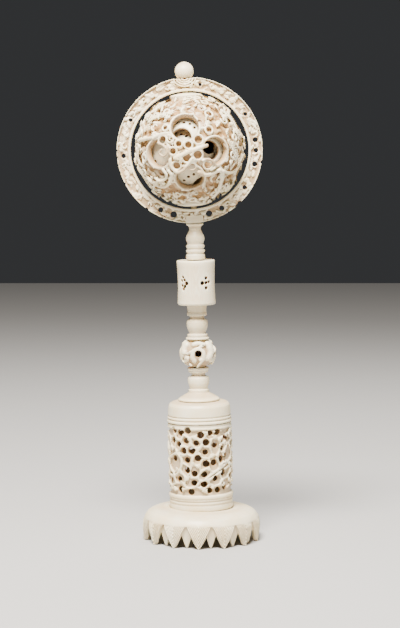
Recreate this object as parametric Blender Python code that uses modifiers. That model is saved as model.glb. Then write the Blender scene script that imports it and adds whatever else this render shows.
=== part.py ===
"""An ivory puzzle ball in an openwork ring, on a turned and pierced stand.

+Z is up and the front faces -Y. The origin is on the ground, straight below the centre of the ring.
Sizes here are in millimetres and angles in degrees; MM turns a size into Blender's metres.
"""
import math

import bmesh
import bpy
from mathutils import Matrix, Vector

MM = 0.001

# Pieces that touch keep this gap between them.
GAP = 0.3

# The tower of turned pieces leans to the left of upright, and the ring leans a little more.
TOWER_LEAN = 1.35
RING_LEAN = 4.0

# Base: a dome over a skirt of hanging leaves
BASE_RADIUS = 25.75
SEAT_HEIGHT = 14.0
SEAT_RADIUS = 14.3
SKIRT_TOP = 8.0
SKIRT_WALL = 1.5
CEILING_HEIGHT = 10.6
LEAF_COUNT = 14
LEAF_PHASE = -2.9
LEAF_GAP_HEIGHT = 5.2
SMALL_LEAF_GAP_HEIGHT = 5.0
LEAF_TIP_WIDTH = 1.3

# Pierced tube
TUBE_RADIUS = 14.1
TUBE_WALL = 2.1
TUBE_HEIGHT = 37.6
LATTICE_LOW = 6.4
LATTICE_HIGH = 36.4
LATTICE_ROWS = 5
LATTICE_COLUMNS = 12
LATTICE_HOLE = 1.5

# How far a hole's cutter runs past each face of a wall
CUT_PAST = 1.5

# Steps round each kind of turned piece
CAP_STEPS = 24
STEM_STEPS = 12
DRUM_STEPS = 16
FINIAL_STEPS = 14
PEG_STEPS = 12

# Turned pieces above the tube: their heights
CAP_HEIGHT = 9.1
LOWER_STEM_HEIGHT = 14.4
KNOP_HEIGHT = 11.9
MIDDLE_STEM_HEIGHT = 14.9
DRUM_HEIGHT = 19.5
UPPER_STEM_HEIGHT = 15.7

# Small pierced ball between the stems
KNOP_RADIUS = 8.15
KNOP_WALL = 1.7
KNOP_HOLES = 6
KNOP_HOLE = 1.7

# Drum, pierced with small flowers
DRUM_RADIUS = 8.3
DRUM_WALL = 1.9
FLOWER_ANGLES = (-44.0, 33.0, 106.0, 177.0, 248.0)
FLOWER_HOLE = 0.5
FLOWER_SPREAD = 2.0

# Ring, with two steps to each leaf of its carved edge
RING_OUTER = 31.85
RING_INNER = 25.75
RING_DEPTH = 6.4
RING_LEAVES = 20
RING_STEPS = 2 * RING_LEAVES
RING_LEAF_DEPTH = 0.55
RING_HOLE_LINE = 28.9

# Holes through the ring: clockwise angle from its top, seen from the front, and radius
RING_HOLES = (
    (13.0, 0.7), (61.0, 0.8), (85.0, 1.1), (94.0, 1.0), (106.0, 1.1), (128.0, 0.9),
    (155.0, 1.1), (167.0, 1.4), (198.0, 1.4), (210.0, 1.1), (269.0, 1.0), (301.0, 0.8),
)
BLOCK_WIDTH = 7.6
BLOCK_HEIGHT = 3.4

# Pivot pegs of the ball
PEG_RADIUS = 1.2
PEG_DEPTH = 2.6

# Finial: its radius, the latitude of its flat foot, and how deep its seat is cut into the ring's edge
FINIAL_RADIUS = 4.1
FINIAL_FOOT_ANGLE = 43.0
FINIAL_SEAT = 0.5

# Puzzle ball: a carved shell, and two plain shells loose inside it
BALL_RADIUS = 25.0
BALL_GROUND = 23.5
BALL_INSIDE = 21.2
BALL_LIFT = 0.2
SHELL_RADII = ((20.1, 18.2), (16.4, 14.6))
SHELL_DROP = 0.3

# Conical holes of each shell: latitude and longitude. Each has a twin half a turn round the pivots.
BALL_HOLES = ((-3.0, 28.0), (-1.5, -35.0), (25.5, -3.5), (-31.0, -1.7), (25.5, 85.0), (-25.5, 85.0))
SHELL_HOLES = (
    ((16.6, -9.8), (-2.0, 26.0), (-48.0, 22.0), (-41.0, -38.0), (25.0, 85.0), (-20.0, 90.0)),
    ((6.0, 32.0), (64.0, -19.0), (-30.0, -5.0), (-5.0, -50.0), (5.0, 88.0), (-45.0, 80.0)),
)
BALL_HOLE_ANGLE = 15.0
BALL_HOLE_SIDES = 10
SHELL_HOLE_ANGLES = (13.0, 12.0)
SHELL_HOLE_SIDES = 6
SHELL_POINTS = 90
PIVOT_HOLE_ANGLE = 4.0
PIVOT_HOLE_SIDES = 10
PLAIN_CAP_ANGLE = 17.0
HOLE_MARGIN = 2.2
RELIEF_POINTS = 400
RELIEF_LOW = 23.0

IVORY = (0.80, 0.74, 0.61)
IVORY_ROUGHNESS = 0.38


def clear_scene():
    for obj in list(bpy.data.objects):
        bpy.data.objects.remove(obj, do_unlink=True)


def new_collection(name):
    collection = bpy.data.collections.new(name)
    bpy.context.scene.collection.children.link(collection)
    return collection


def ivory(name, tone):
    """Old ivory; tone scales its lightness, because each piece has aged a little differently."""
    material = bpy.data.materials.new(name)
    material.use_nodes = True
    shader = material.node_tree.nodes["Principled BSDF"]
    shader.inputs["Base Color"].default_value = (*(tone * c for c in IVORY), 1.0)
    shader.inputs["Roughness"].default_value = IVORY_ROUGHNESS
    shader.inputs["Metallic"].default_value = 0.0
    return material


def frame_at(name, parent, height, lean):
    """An empty some way up its parent's axis, tipped to the left."""
    empty = bpy.data.objects.new(name, None)
    parts.objects.link(empty)
    empty.parent = parent
    empty.location = (0.0, 0.0, height * MM)
    empty.rotation_euler = (0.0, -math.radians(lean), 0.0)
    return empty


def add_object(name, mesh, parent, height=0.0, tone=1.0):
    obj = bpy.data.objects.new(name, mesh)
    obj.parent = parent
    obj.location = (0.0, 0.0, height * MM)
    obj.data.materials.append(ivory(name + "_ivory", tone))
    parts.objects.link(obj)
    return obj


def add_cutter(name, mesh, parent, height=0.0):
    obj = bpy.data.objects.new(name, mesh)
    obj.parent = parent
    obj.location = (0.0, 0.0, height * MM)
    obj.hide_render = True
    obj.display_type = "WIRE"
    cutters.objects.link(obj)
    return obj


def mesh_from(bm, name):
    bmesh.ops.recalc_face_normals(bm, faces=bm.faces[:])
    mesh = bpy.data.meshes.new(name)
    bm.to_mesh(mesh)
    bm.free()
    return mesh


def boolean(obj, other, operation):
    modifier = obj.modifiers.new(other.name, "BOOLEAN")
    modifier.operation = operation
    modifier.object = other
    modifier.solver = "EXACT"


def arc(start, end, bulge, steps):
    """Points on a circular arc from start to end, bulging outwards by bulge; start is left out."""
    start, end = Vector(start), Vector(end)
    chord = end - start
    middle = (start + end) / 2
    outward = Vector((-chord.y, chord.x)).normalized()
    radius = (chord.length ** 2 / 4 + bulge ** 2) / (2 * abs(bulge))
    side = math.copysign(1.0, bulge)
    centre = middle + outward * (bulge - side * radius)
    half = math.asin(min(1.0, chord.length / (2 * radius)))
    points = []
    for step in range(1, steps + 1):
        angle = half * (2 * step / steps - 1)
        along = chord.normalized() * radius * math.sin(angle)
        points.append(tuple(centre + along + outward * side * radius * math.cos(angle)))
    return points


def turned_mesh(name, outline, steps, hollow=False):
    """Spin an outline of (radius, height) points, given top to bottom down its outer side."""
    mesh = bpy.data.meshes.new(name)
    count = len(outline)
    edges = [(i, i + 1) for i in range(count - 1)]
    if hollow:
        edges.append((count - 1, 0))
    mesh.from_pydata([(r * MM, 0.0, h * MM) for r, h in outline], edges, [])
    obj = bpy.data.objects.new(name, mesh)
    parts.objects.link(obj)
    screw = obj.modifiers.new("Turn", "SCREW")
    screw.steps = steps
    screw.render_steps = steps
    screw.use_merge_vertices = True
    screw.merge_threshold = 0.00001
    spun = baked_mesh(obj)
    bpy.data.objects.remove(obj)
    bm = bmesh.new()
    bm.from_mesh(spun)
    return mesh_from(bm, name)


def baked_mesh(obj):
    graph = bpy.context.evaluated_depsgraph_get()
    return bpy.data.meshes.new_from_object(obj.evaluated_get(graph))


def turned(name, outline, steps, parent, height, tone, hollow=False):
    mesh = turned_mesh(name, outline, steps, hollow)
    mesh.shade_smooth()
    return add_object(name, mesh, parent, height, tone)


def direction(latitude, longitude):
    """A unit vector; longitude 0 faces the front and grows to the viewer's right."""
    lat, lon = math.radians(latitude), math.radians(longitude)
    return Vector((math.cos(lat) * math.sin(lon), -math.cos(lat) * math.cos(lon), math.sin(lat)))


def radial_prism(bm, heading, height, radius, inner_face, outer_face, sides):
    """Add to bm a prism that points outwards from the Z axis, to cut one round hole through a wall."""
    near, far = inner_face - CUT_PAST, outer_face + CUT_PAST
    out = direction(0.0, heading)
    point = out.to_track_quat("Z", "Y").to_matrix().to_4x4()
    place = Matrix.Translation(out * (near + far) / 2 * MM + Vector((0, 0, height * MM)))
    bmesh.ops.create_cone(
        bm, cap_ends=True, segments=sides, radius1=radius * MM, radius2=radius * MM,
        depth=(far - near) * MM, matrix=place @ point,
    )


def leaf_band(name, top_radius, low_radius, top, phase, outline):
    """A band that hangs from the dome, its lower edge cut into pointed leaves that reach the ground.

    outline lists points across one leaf: angle from its middle, height of the edge, and how far
    it stands out.
    """
    bm = bmesh.new()
    loops = []
    for inset, at_top in ((0.0, False), (0.0, True), (SKIRT_WALL, True), (SKIRT_WALL, False)):
        loop = []
        for leaf in range(LEAF_COUNT):
            for angle, height, stand in outline:
                heading = phase + leaf * 360.0 / LEAF_COUNT + angle
                share = height / top
                radius = top_radius if at_top else low_radius + (top_radius - low_radius) * share + stand
                spot = direction(0.0, heading) * (radius - inset)
                spot.z = top if at_top else height
                loop.append(bm.verts.new(spot * MM))
        loops.append(loop)
    for loop, following in zip(loops, loops[1:] + loops[:1]):
        for i in range(len(loop)):
            j = (i + 1) % len(loop)
            bm.faces.new((loop[i], loop[j], following[j], following[i]))
    return mesh_from(bm, name)


def make_base(ground, tower):
    dome = [(0.0, SEAT_HEIGHT + 0.4), (SEAT_RADIUS + 0.8, SEAT_HEIGHT + 0.2), (20.5, 13.5)]
    dome += arc((20.5, 13.5), (BASE_RADIUS - 0.05, SKIRT_TOP), 1.35, 3)
    dome += [(BASE_RADIUS - 2.9, SKIRT_TOP), (BASE_RADIUS - 4.5, CEILING_HEIGHT), (0.0, CEILING_HEIGHT)]
    base = turned("petal_base", dome, LEAF_COUNT * 2, ground, 0.0, 0.99)
    half = 180.0 / LEAF_COUNT
    tip = math.degrees(LEAF_TIP_WIDTH / 2 / BASE_RADIUS)
    shoulder = (half * 0.6, LEAF_GAP_HEIGHT * 0.42, 0.1)
    large_leaf = (
        (-half, LEAF_GAP_HEIGHT, -0.2),
        (-shoulder[0], *shoulder[1:]),
        (-tip, 0.0, 0.15),
        (tip, 0.0, 0.15),
        shoulder,
    )
    small_leaf = ((-half, SMALL_LEAF_GAP_HEIGHT, 0.0), (-tip, 0.0, 0.0), (tip, 0.0, 0.0))
    large = leaf_band(
        "large_leaves", BASE_RADIUS - 0.4, BASE_RADIUS - 0.1, SKIRT_TOP + 0.6, LEAF_PHASE, large_leaf
    )
    small = leaf_band(
        "small_leaves", BASE_RADIUS - 0.9, BASE_RADIUS - 1.9, SKIRT_TOP + 0.9, LEAF_PHASE + half, small_leaf
    )
    boolean(base, add_cutter("large_leaves", large, ground), "UNION")
    boolean(base, add_cutter("small_leaves", small, ground), "UNION")
    # The seat is cut square to the leaning tower, so the tube stands flat in it.
    bm = bmesh.new()
    bmesh.ops.create_cone(
        bm, cap_ends=True, segments=LEAF_COUNT * 2, radius1=SEAT_RADIUS * MM, radius2=SEAT_RADIUS * MM,
        depth=6.0 * MM, matrix=Matrix.Translation((0, 0, (3.0 - GAP) * MM)),
    )
    boolean(base, add_cutter("seat", mesh_from(bm, "seat"), tower), "DIFFERENCE")


def make_tube(tower, height):
    radius, inside = TUBE_RADIUS, TUBE_RADIUS - TUBE_WALL
    outline = [
        (inside, TUBE_HEIGHT), (radius - 0.3, TUBE_HEIGHT), (radius, LATTICE_HIGH), (radius, LATTICE_LOW),
        (radius + 0.1, 5.2), (radius - 0.6, 4.4), (radius - 0.1, 3.4), (radius - 0.6, 2.3),
        (radius - 0.2, 1.6), (radius - 0.2, 0.0), (inside, 0.0),
    ]
    tube = turned("pierced_cylinder", outline, LATTICE_COLUMNS * 2, tower, height, 0.97, hollow=True)
    bm = bmesh.new()
    row_height = (LATTICE_HIGH - LATTICE_LOW) / LATTICE_ROWS
    for row in range(LATTICE_ROWS):
        for column in range(LATTICE_COLUMNS):
            heading = (column + 0.5 * (row % 2) + 0.25) * 360.0 / LATTICE_COLUMNS
            level = LATTICE_LOW + (row + 0.5) * row_height
            radial_prism(bm, heading, level, LATTICE_HOLE, inside, radius, 6)
    boolean(tube, add_cutter("tube_holes", mesh_from(bm, "tube_holes"), tower, height), "DIFFERENCE")


def make_cap(tower, height):
    outline = [(0.0, CAP_HEIGHT), (10.6, CAP_HEIGHT)]
    outline += arc((10.6, CAP_HEIGHT), (13.6, 6.4), 0.75, 3)
    outline += [(13.95, 3.1), (13.65, 2.7), (14.05, 2.0), (13.75, 1.3), (14.3, 0.6), (14.2, 0.0), (12.0, 0.0)]
    outline += [(11.5, 5.5), (8.0, CAP_HEIGHT - 1.9), (0.0, CAP_HEIGHT - 1.9)]
    turned("cylinder_cap", outline, CAP_STEPS, tower, height, 1.0)


def make_lower_stem(tower, height):
    outline = [(0.0, LOWER_STEM_HEIGHT), (4.6, LOWER_STEM_HEIGHT), (4.85, 13.8), (4.3, 12.2), (3.0, 11.2)]
    outline += [(3.3, 10.6), (4.5, 9.9)]
    outline += arc((4.5, 9.9), (3.85, 5.0), 0.45, 4)
    outline += [(4.45, 4.6), (4.5, 3.5), (5.0, 3.1), (8.7, 0.9), (9.1, 0.5), (9.0, 0.0), (0.0, 0.0)]
    turned("lower_stem", outline, STEM_STEPS, tower, height, 0.96)


def make_knop(tower, height):
    """The small ball: a hollow sphere cut flat at both ends, with round holes about its middle."""
    middle = KNOP_HEIGHT / 2
    lean_in = math.degrees(math.asin(middle / KNOP_RADIUS))
    rings = 6
    outer, inner = [], []
    for i in range(rings + 1):
        latitude = math.radians(lean_in - 2 * lean_in * i / rings)
        outer.append((KNOP_RADIUS * math.cos(latitude), middle + KNOP_RADIUS * math.sin(latitude)))
    inside = KNOP_RADIUS - KNOP_WALL
    for i in range(5):
        latitude = math.radians(-90.0 + 45.0 * i)
        inner.append((max(0.0, inside * math.cos(latitude)), middle + 0.8 * inside * math.sin(latitude)))
    outline = [(0.0, KNOP_HEIGHT)] + outer + [(0.0, 0.0)]
    shell = turned("openwork_knop", outline, STEM_STEPS, tower, height, 0.95)
    hollow = turned_mesh("knop_hollow", inner[::-1], STEM_STEPS)
    boolean(shell, add_cutter("knop_hollow", hollow, tower, height), "DIFFERENCE")
    bm = bmesh.new()
    for i in range(KNOP_HOLES):
        radial_prism(bm, 360.0 * i / KNOP_HOLES, middle, KNOP_HOLE, inside, KNOP_RADIUS, 6)
    boolean(shell, add_cutter("knop_holes", mesh_from(bm, "knop_holes"), tower, height), "DIFFERENCE")


def make_middle_stem(tower, height):
    outline = [(0.0, MIDDLE_STEM_HEIGHT), (4.35, MIDDLE_STEM_HEIGHT), (4.1, 11.4), (4.35, 11.0)]
    outline += [(4.3, 10.5), (3.2, 10.0), (3.2, 9.1), (4.5, 8.1)]
    outline += arc((4.5, 8.1), (3.6, 2.8), 0.45, 4)
    outline += [(4.4, 2.1), (4.4, 1.0), (5.1, 0.5), (5.0, 0.0), (0.0, 0.0)]
    turned("middle_stem", outline, STEM_STEPS, tower, height, 0.80)


def make_drum(tower, height):
    top, inside = DRUM_HEIGHT, DRUM_RADIUS - DRUM_WALL
    outline = [(0.0, top - 0.2), (7.2, top - 0.2), (7.9, top), (DRUM_RADIUS, top - 0.9)]
    outline += arc((DRUM_RADIUS, top - 0.9), (DRUM_RADIUS + 0.05, 0.8), -0.25, 3)
    outline += [(7.8, 0.0), (0.0, 0.0)]
    drum = turned("drum", outline, DRUM_STEPS, tower, height, 0.99)
    low, high = DRUM_WALL, top - DRUM_WALL
    hollow = turned_mesh("drum_hollow", [(0.0, high), (inside, high), (inside, low), (0.0, low)], 8)
    boolean(drum, add_cutter("drum_hollow", hollow, tower, height), "DIFFERENCE")
    bm = bmesh.new()
    middle = top / 2
    for heading in FLOWER_ANGLES:
        side = math.degrees(FLOWER_SPREAD / DRUM_RADIUS)
        spots = ((0, 0), (side, 0), (-side, 0), (0, FLOWER_SPREAD), (0, -FLOWER_SPREAD))
        for turn, rise in spots:
            radial_prism(bm, heading + turn, middle + rise, FLOWER_HOLE, inside, DRUM_RADIUS, 4)
    boolean(drum, add_cutter("drum_holes", mesh_from(bm, "drum_holes"), tower, height), "DIFFERENCE")


def make_upper_stem(tower, height):
    outline = [(0.0, UPPER_STEM_HEIGHT), (3.6, UPPER_STEM_HEIGHT), (3.75, 15.2), (2.8, 14.7), (2.45, 13.6)]
    outline += [(2.8, 12.2)]
    outline += arc((2.8, 12.2), (3.2, 7.0), 1.05, 5)
    outline += [(3.95, 6.1), (3.95, 5.1), (3.5, 4.7), (4.1, 4.2), (4.1, 3.3), (3.5, 2.8)]
    outline += [(4.15, 2.1), (4.0, 0.0), (0.0, 0.0)]
    turned("upper_stem", outline, STEM_STEPS, tower, height, 1.0)


def carve_ring(mesh):
    """Notch the turned ring's outer edge into leaf tips and ripple its two faces."""
    for vertex in mesh.vertices:
        radius = math.hypot(vertex.co.x, vertex.co.y)
        turn = math.atan2(vertex.co.x, vertex.co.y)
        leaf = math.cos(turn * RING_LEAVES) * math.cos(turn * 7 + 1.0)
        if radius > (RING_OUTER - 0.3) * MM:
            reach = 1.0 - RING_LEAF_DEPTH * MM / radius * (0.5 - 0.5 * leaf)
            vertex.co.x *= reach
            vertex.co.y *= reach
        elif radius > (RING_INNER + 1.2) * MM:
            vertex.co.z *= 1.0 + 0.12 * leaf


def make_ring(wheel):
    half = RING_DEPTH / 2
    inner, outer = RING_INNER, RING_OUTER
    border = inner + 1.0
    front = [(inner, half), (border, half), (border + 0.4, half - 0.6)]
    front += [(outer - 1.2, half - 0.5), (outer, half - 1.4)]
    outline = front + [(r, -h) for r, h in front[::-1]]
    mesh = turned_mesh("wheel_ring", outline, RING_STEPS, hollow=True)
    carve_ring(mesh)
    mesh.transform(Matrix.Rotation(math.radians(90.0), 4, "X"))
    ring = add_object("wheel_ring", mesh, wheel, RING_OUTER, 0.96)
    bm = bmesh.new()
    block = Matrix.Translation((0, 0, -(RING_OUTER - BLOCK_HEIGHT / 2) * MM))
    size = Matrix.Diagonal((BLOCK_WIDTH * MM, (RING_DEPTH + 0.2) * MM, BLOCK_HEIGHT * MM, 1.0))
    bmesh.ops.create_cube(bm, size=1.0, matrix=block @ size)
    boolean(ring, add_cutter("ring_block", mesh_from(bm, "ring_block"), wheel, RING_OUTER), "UNION")
    bm = bmesh.new()
    through = Matrix.Rotation(math.radians(90.0), 4, "X")
    for clock, radius in RING_HOLES:
        turn = math.radians(clock)
        spot = Vector((math.sin(turn), 0.0, math.cos(turn))) * RING_HOLE_LINE * MM
        bmesh.ops.create_cone(
            bm, cap_ends=True, segments=6, radius1=radius * MM, radius2=radius * MM,
            depth=2 * RING_DEPTH * MM, matrix=Matrix.Translation(spot) @ through,
        )
    # One bore across the ring takes the pegs, above and below the ball.
    bore = (PEG_RADIUS + GAP) * MM
    bmesh.ops.create_cone(
        bm, cap_ends=True, segments=PEG_STEPS, radius1=bore, radius2=bore, depth=2.2 * RING_OUTER * MM,
    )
    boolean(ring, add_cutter("ring_holes", mesh_from(bm, "ring_holes"), wheel, RING_OUTER), "DIFFERENCE")
    # The ring is cut flat where the finial stands on it.
    bm = bmesh.new()
    flat = Matrix.Translation((0, 0, (RING_OUTER - FINIAL_SEAT + 2.0) * MM))
    size = Matrix.Diagonal((8.0 * MM, 2 * RING_DEPTH * MM, 4.0 * MM, 1.0))
    bmesh.ops.create_cube(bm, size=1.0, matrix=flat @ size)
    boolean(ring, add_cutter("finial_seat", mesh_from(bm, "finial_seat"), wheel, RING_OUTER), "DIFFERENCE")


def make_finial(wheel):
    """A small ball on the ring, with a peg that runs down through the ring into the ball."""
    foot = 2 * RING_OUTER - FINIAL_SEAT + GAP
    centre = foot + FINIAL_RADIUS * math.sin(math.radians(FINIAL_FOOT_ANGLE))
    peg_end = RING_OUTER + BALL_LIFT + BALL_RADIUS - PEG_DEPTH
    outline = [(0.0, FINIAL_RADIUS)]
    for i in range(1, 9):
        latitude = math.radians(90.0 - (90.0 + FINIAL_FOOT_ANGLE) * i / 8)
        outline.append((FINIAL_RADIUS * math.cos(latitude), FINIAL_RADIUS * math.sin(latitude)))
    outline += [(PEG_RADIUS, foot - centre), (PEG_RADIUS, peg_end - centre), (0.0, peg_end - centre)]
    turned("finial", outline, FINIAL_STEPS, wheel, centre, 1.02)


def make_lower_pivot(wheel):
    """The peg in the bottom of the ring that carries the ball."""
    low = 0.4
    high = RING_OUTER + BALL_LIFT - BALL_RADIUS + PEG_DEPTH
    outline = [(0.0, high - low), (PEG_RADIUS, high - low), (PEG_RADIUS, 0.0), (0.0, 0.0)]
    turned("lower_pivot", outline, PEG_STEPS, wheel, low, 0.85)


def rim(axis, angle, count):
    """Points of a small circle on the unit sphere."""
    side = axis.orthogonal().normalized()
    other = axis.cross(side)
    turn = math.radians(angle)
    points = []
    for i in range(count):
        around = 2 * math.pi * i / count
        points.append(
            axis * math.cos(turn) + (side * math.cos(around) + other * math.sin(around)) * math.sin(turn)
        )
    return points


def spread_points(count):
    """Points spaced evenly over the unit sphere along a spiral."""
    golden = math.pi * (3.0 - math.sqrt(5.0))
    for i in range(count):
        height = 1.0 - 2.0 * (i + 0.5) / count
        across = math.sqrt(1.0 - height * height)
        yield Vector((across * math.cos(golden * i), across * math.sin(golden * i), height))


def hole_axes(front):
    axes = []
    for latitude, longitude in front:
        axes.append(direction(latitude, longitude))
        axes.append(direction(latitude, longitude + 180.0))
    return axes


def pierced_shell(name, outer, inside, holes, fill):
    """A round shell with straight-sided conical holes that all point to its centre.

    holes lists (axis, half angle, sides). fill lists (unit vector, radius) for points between the holes.
    The unit sphere's points are joined as a convex hull, and the faces across each hole are taken out.
    """
    bm = bmesh.new()
    owner = {}
    reach = {}
    for number, (axis, angle, sides) in enumerate(holes):
        for point in rim(axis, angle, sides):
            vertex = bm.verts.new(point)
            owner[vertex] = number
            reach[vertex] = outer
    for point, radius in fill:
        if all(point.angle(axis) > math.radians(angle + HOLE_MARGIN) for axis, angle, sides in holes):
            vertex = bm.verts.new(point)
            owner[vertex] = -1
            reach[vertex] = radius
    bmesh.ops.convex_hull(bm, input=bm.verts[:])
    caps = []
    for face in bm.faces:
        owners = {owner[v] for v in face.verts}
        if len(owners) == 1 and owners != {-1}:
            caps.append(face)
    bmesh.ops.delete(bm, geom=caps, context="FACES")
    outside = bm.verts[:]
    units = {v: v.co.copy() for v in outside}
    result = bmesh.ops.extrude_face_region(bm, geom=bm.faces[:], use_keep_orig=True)
    for element in result["geom"]:
        if isinstance(element, bmesh.types.BMVert):
            element.co = element.co * inside * MM
    for vertex in outside:
        vertex.co = units[vertex] * reach[vertex] * MM
    return mesh_from(bm, name)


def relief_radius(point):
    """Raised stems that wind round the ball between its plain caps, over a sunk ground."""
    if abs(point.z) > math.cos(math.radians(PLAIN_CAP_ANGLE)):
        return BALL_RADIUS
    longitude = math.atan2(point.x, -point.y)
    wave = math.sin(5 * longitude + 4 * math.sin(3 * math.asin(point.z)))
    return BALL_RADIUS if wave > -0.2 else RELIEF_LOW


def make_balls(ball_centre):
    poles = [direction(90.0, 0.0), direction(-90.0, 0.0)]
    holes = [(axis, BALL_HOLE_ANGLE, BALL_HOLE_SIDES) for axis in hole_axes(BALL_HOLES)]
    holes += [(pole, PIVOT_HOLE_ANGLE, PIVOT_HOLE_SIDES) for pole in poles]
    fill = [(point, relief_radius(point)) for point in spread_points(RELIEF_POINTS)]
    mesh = pierced_shell("puzzle_ball", BALL_GROUND, BALL_INSIDE, holes, fill)
    add_object("puzzle_ball", mesh, ball_centre, 0.0, 0.98)
    for number, ((outer, inside), angle, front) in enumerate(
        zip(SHELL_RADII, SHELL_HOLE_ANGLES, SHELL_HOLES)
    ):
        holes = [(axis, angle, SHELL_HOLE_SIDES) for axis in hole_axes(front)]
        fill = [(point, outer) for point in spread_points(SHELL_POINTS)]
        mesh = pierced_shell("shell", outer, inside, holes, fill)
        name = "inner_ball_" + str(number + 2)
        add_object(name, mesh, ball_centre, -SHELL_DROP * (number + 1), 0.92)


def main():
    clear_scene()
    ring_rise = GAP + RING_OUTER
    stack = (
        (make_tube, TUBE_HEIGHT), (make_cap, CAP_HEIGHT), (make_lower_stem, LOWER_STEM_HEIGHT),
        (make_knop, KNOP_HEIGHT), (make_middle_stem, MIDDLE_STEM_HEIGHT), (make_drum, DRUM_HEIGHT),
        (make_upper_stem, UPPER_STEM_HEIGHT),
    )
    tower_height = sum(height + GAP for make, height in stack)
    lean_left = tower_height * math.sin(math.radians(TOWER_LEAN))
    lean_left += RING_OUTER * math.sin(math.radians(RING_LEAN))
    ground = frame_at("ground_frame", None, 0.0, 0.0)
    ground.location.x = lean_left * MM
    tower = frame_at("tower_frame", ground, SEAT_HEIGHT, TOWER_LEAN)
    make_base(ground, tower)
    height = 0.0
    for make, piece_height in stack:
        make(tower, height)
        height += piece_height + GAP
    wheel = frame_at("wheel_frame", tower, height, RING_LEAN - TOWER_LEAN)
    make_ring(wheel)
    make_finial(wheel)
    make_lower_pivot(wheel)
    ball_centre = frame_at("ball_centre", wheel, RING_OUTER + BALL_LIFT, 0.0)
    make_balls(ball_centre)


parts = new_collection("ivory_puzzle_ball")
cutters = new_collection("cutters")
main()
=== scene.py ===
"""The looks of the ivory puzzle ball and its stand: carved surfaces, ivory, camera and light.

Sizes are in millimetres and angles in degrees; MM turns a size into Blender's metres.
Carved pieces are worked as blocks of signed distances, negative inside, and then given a surface.
"""

import random
from functools import reduce
from math import acos, asin, atan2, cos, degrees, hypot, pi, radians, sin, sqrt, tan

import bmesh
import bpy
import numpy as np
from mathutils import Matrix, Vector
from mathutils.geometry import delaunay_2d_cdt


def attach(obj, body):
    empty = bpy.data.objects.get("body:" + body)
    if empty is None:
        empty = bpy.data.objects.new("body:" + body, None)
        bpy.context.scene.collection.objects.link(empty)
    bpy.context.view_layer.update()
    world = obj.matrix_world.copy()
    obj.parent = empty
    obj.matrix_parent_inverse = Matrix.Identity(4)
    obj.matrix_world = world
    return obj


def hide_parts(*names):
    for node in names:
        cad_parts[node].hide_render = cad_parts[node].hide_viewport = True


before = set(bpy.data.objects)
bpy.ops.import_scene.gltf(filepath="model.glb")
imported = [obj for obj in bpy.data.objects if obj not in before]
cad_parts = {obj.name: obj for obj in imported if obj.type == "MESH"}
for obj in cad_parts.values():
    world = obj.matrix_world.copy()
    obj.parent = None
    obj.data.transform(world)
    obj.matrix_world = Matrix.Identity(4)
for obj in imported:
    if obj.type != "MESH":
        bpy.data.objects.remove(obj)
MM = 0.001

# How the pieces stand, as in the solids
GROUND_X = 5.171
SEAT_HEIGHT = 14.0
TOWER_LEAN = 1.35
RING_LEAN = 4.0
GAP = 0.3
TUBE_HEIGHT = 37.6
CAP_HEIGHT = 9.1
KNOP_HEIGHT = 11.9
DRUM_HEIGHT = 19.5
TOWER = {
    "tube": TUBE_HEIGHT, "cap": CAP_HEIGHT, "lower_stem": 14.4, "knop": KNOP_HEIGHT, "middle_stem": 14.9,
    "drum": DRUM_HEIGHT, "upper_stem": 15.7,
}
RING_OUTER = 31.85
RING_INNER = 25.75
RING_DEPTH = 6.4
BALL_LIFT = 0.2
SHELL_DROP = 0.3

# Voxels of the carved pieces, how much coarser a draft is, and the distance that means empty
BALL_STEP = 0.30
SHELL_STEP = 0.30
RING_STEP = 0.26
TUBE_STEP = 0.27
BASE_STEP = 0.26
KNOP_STEP = 0.20
DRUM_STEP = 0.20
FAR = 50.0

# Of each carved piece: the node it replaces, its body, its most triangles, and how far its painted shade
# and stain look
CARVED = {
    "base_carved": ("petal_base", "stand", 150000, 1.4),
    "tube_carved": ("pierced_cylinder", "stand", 155000, 1),
    "knop_carved": ("openwork_knop", "stand", 55000, 0.9),
    "drum_pierced": ("drum", "stand", 45000, 0.8),
    "ring_carved": ("wheel_ring", "stand", 165000, 0.9),
    "ball_carved": ("puzzle_ball", "ball", 190000, 1.1),
    "inner_ball_2_pierced": ("inner_ball_2", "ball", 55000, 1.3),
    "inner_ball_3_pierced": ("inner_ball_3", "ball", 55000, 1.3),
}

# Camera, worked out from the photograph. Places in the photograph are columns and rows of pixels.
CAMERA_DISTANCE = 850.0
CAMERA_HEIGHT = 176.5
CAMERA_X = 4.5
CAMERA_PITCH = 3.0
CAMERA_SHIFT = -0.119
VIEW_HEIGHT = 18.36
PIXEL = 0.44
MIDDLE_COLUMN = 200.0
GROUND_ROW = 538.7
BALL_PIXEL = (190.3, 150.4)
KNOP_PIXEL = (197.6, 352.4)
REFINEMENTS = 4

# Colours: ivory where open and where darkened by painted shade and real staining, in a pale kind and a
# darker copy with painted shade, and the tints over it
PALE = ((0.88, 0.80, 0.585), (0.36, 0.21, 0.085))
SHADE_PAINTED = ((0.76, 0.68, 0.49), (0.26, 0.145, 0.06))
CLOUD_TINT = (0.95, 0.88, 0.74)
STREAK_TINT = 0.97

# Painted shade, with real staining, in hollows: how solid it is round an open point and how much more
# round a hidden one; painted shade in turned grooves and on pegs
OPEN_SHARE = 0.42
HIDDEN_MORE = 0.33
NECK_REACH = 1.4
NECK_FREE = 0.25
NECK_DEPTH = 2.0
NECK_DARKEST = 0.5
PEG_SHADE = 0.2

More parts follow.
